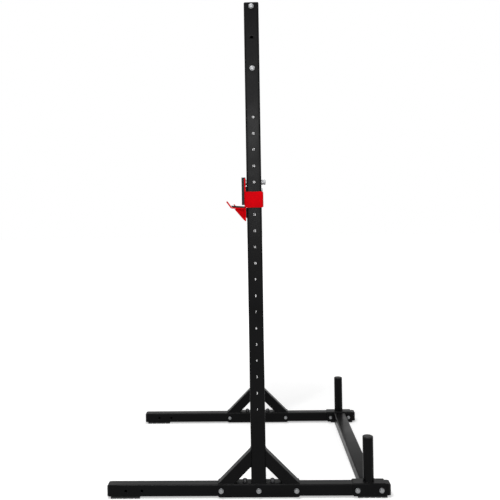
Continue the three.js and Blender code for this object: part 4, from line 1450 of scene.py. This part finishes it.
class STAND_OT_stage(bpy.types.Operator):
    """Set the camera, the lamps, the room light and the white floor"""

    bl_idname = "stand.stage"
    bl_label = "Stage"

    def execute(self, context):
        stage, scene = settings("stage"), context.scene
        scene.view_settings.view_transform = "Standard"
        lens = bpy.data.cameras.new("Photo camera")
        lens.lens = stage.lens
        lens.shift_x = stage.shift_across
        lens.shift_y = -stage.shift_down
        camera = bpy.data.objects.new("Photo camera", lens)
        camera.matrix_world = (Matrix.Translation(stage.camera_place)
                               @ Matrix.Rotation(stage.camera_turn, 4, "Z")
                               @ Matrix.Rotation(math.pi / 2, 4, "X")
                               @ Matrix.Rotation(stage.camera_roll, 4, "Z"))
        scene.collection.objects.link(camera)
        scene.camera = camera
        for name, lamp in LAMPS.items():
            add_lamp(f"{name.title()} lamp", getattr(stage, name), *lamp)
        self.room(scene, stage.fill)
        self.floor(scene, stage)
        return {"FINISHED"}

    def room(self, scene, strength):
        """White where the background shows, and a plain level for everything that it lights."""
        scene.world = bpy.data.worlds.new("Room")
        scene.world.use_nodes = True
        tree = scene.world.node_tree
        level = new_node(tree, "ShaderNodeMapRange", {"Value": seen_ray(tree), "To Min": strength})
        feed(tree, {"Color": (1.0, 1.0, 1.0, 1.0), "Strength": level.outputs["Result"]},
             tree.nodes["Background"].inputs)

    def floor(self, scene, stage):
        """A white floor that keeps the stand's shadow.

        Where it is seen it also glows, a little round the stand and fully white far from it.
        """
        half = stage.floor_half
        mesh = bpy.data.meshes.new("Floor")
        mesh.from_pydata([(x, y, FLOOR_LEVEL) for x, y in ((-half, -half), (half, -half), (half, half),
                                                           (-half, half))], [], [(0, 1, 2, 3)])
        floor = bpy.data.objects.new("Floor", mesh)
        scene.collection.objects.link(floor)
        made = bpy.data.materials.new("white_floor")
        made.use_nodes = True
        tree = made.node_tree
        tree.nodes.remove(tree.nodes["Principled BSDF"])
        place = new_node(tree, "ShaderNodeTexCoord").outputs["Object"]
        reach = new_node(tree, "ShaderNodeVectorMath", {0: place}, operation="LENGTH")
        far = ramp(tree, reach.outputs["Value"], stage.glow_start, stage.glow_full)
        level = plus(tree, stage.near_glow, far, 1 - stage.near_glow)
        matt = new_node(tree, "ShaderNodeBsdfDiffuse", {"Color": (*[stage.floor_colour] * 3, 1.0)})
        glow = new_node(tree, "ShaderNodeEmission",
                        {"Strength": math_node(tree, "MULTIPLY", seen_ray(tree), level)})
        both = new_node(tree, "ShaderNodeAddShader", {0: matt.outputs[0], 1: glow.outputs[0]})
        feed(tree, {"Surface": both.outputs[0]}, tree.nodes["Material Output"].inputs)
        mesh.materials.append(made)


PIECE_OPERATORS = (STAND_OT_uprights, STAND_OT_numbers, STAND_OT_rails, STAND_OT_crossmember,
                   STAND_OT_braces, STAND_OT_saddles, STAND_OT_plate_posts, STAND_OT_end_plugs,
                   STAND_OT_bolts, STAND_OT_pull_up_bar, STAND_OT_bar_hooks, STAND_OT_cad_pieces,
                   STAND_OT_stage)


class VIEW3D_PT_squat_stand(bpy.types.Panel):
    """Sidebar panel that lists the stand's pieces and settings"""

    bl_idname = "VIEW3D_PT_squat_stand"
    bl_label = "Squat Stand"
    bl_space_type = "VIEW_3D"
    bl_region_type = "UI"
    bl_category = "Squat Stand"

    def draw(self, context):
        for operator in PIECE_OPERATORS:
            self.layout.operator(operator.bl_idname)
        for name, group in SETTING_GROUPS.items():
            box = self.layout.box()
            box.label(text=group.__doc__.split(":")[0])
            for setting in group.__annotations__:
                box.prop(getattr(context.scene, name), setting)


def register():
    """Registers the settings, the operators and the panel."""
    for name, group in SETTING_GROUPS.items():
        bpy.utils.register_class(group)
        setattr(bpy.types.Scene, name, PointerProperty(type=group))
    for operator in PIECE_OPERATORS:
        bpy.utils.register_class(operator)
    bpy.utils.register_class(VIEW3D_PT_squat_stand)


def unregister():
    """Takes everything out again, in the other order."""
    bpy.utils.unregister_class(VIEW3D_PT_squat_stand)
    for operator in reversed(PIECE_OPERATORS):
        bpy.utils.unregister_class(operator)
    for name, group in reversed(SETTING_GROUPS.items()):
        delattr(bpy.types.Scene, name)
        bpy.utils.unregister_class(group)


def main():
    """Makes every piece and the stage."""
    register()
    bpy.ops.stand.uprights()
    bpy.ops.stand.numbers()
    bpy.ops.stand.rails()
    bpy.ops.stand.crossmember()
    bpy.ops.stand.braces()
    bpy.ops.stand.saddles()
    bpy.ops.stand.plate_posts()
    bpy.ops.stand.end_plugs()
    bpy.ops.stand.bolts()
    bpy.ops.stand.pull_up_bar()
    bpy.ops.stand.bar_hooks()
    bpy.ops.stand.cad_pieces()
    bpy.ops.stand.stage()


if __name__ == "__main__":
    main()
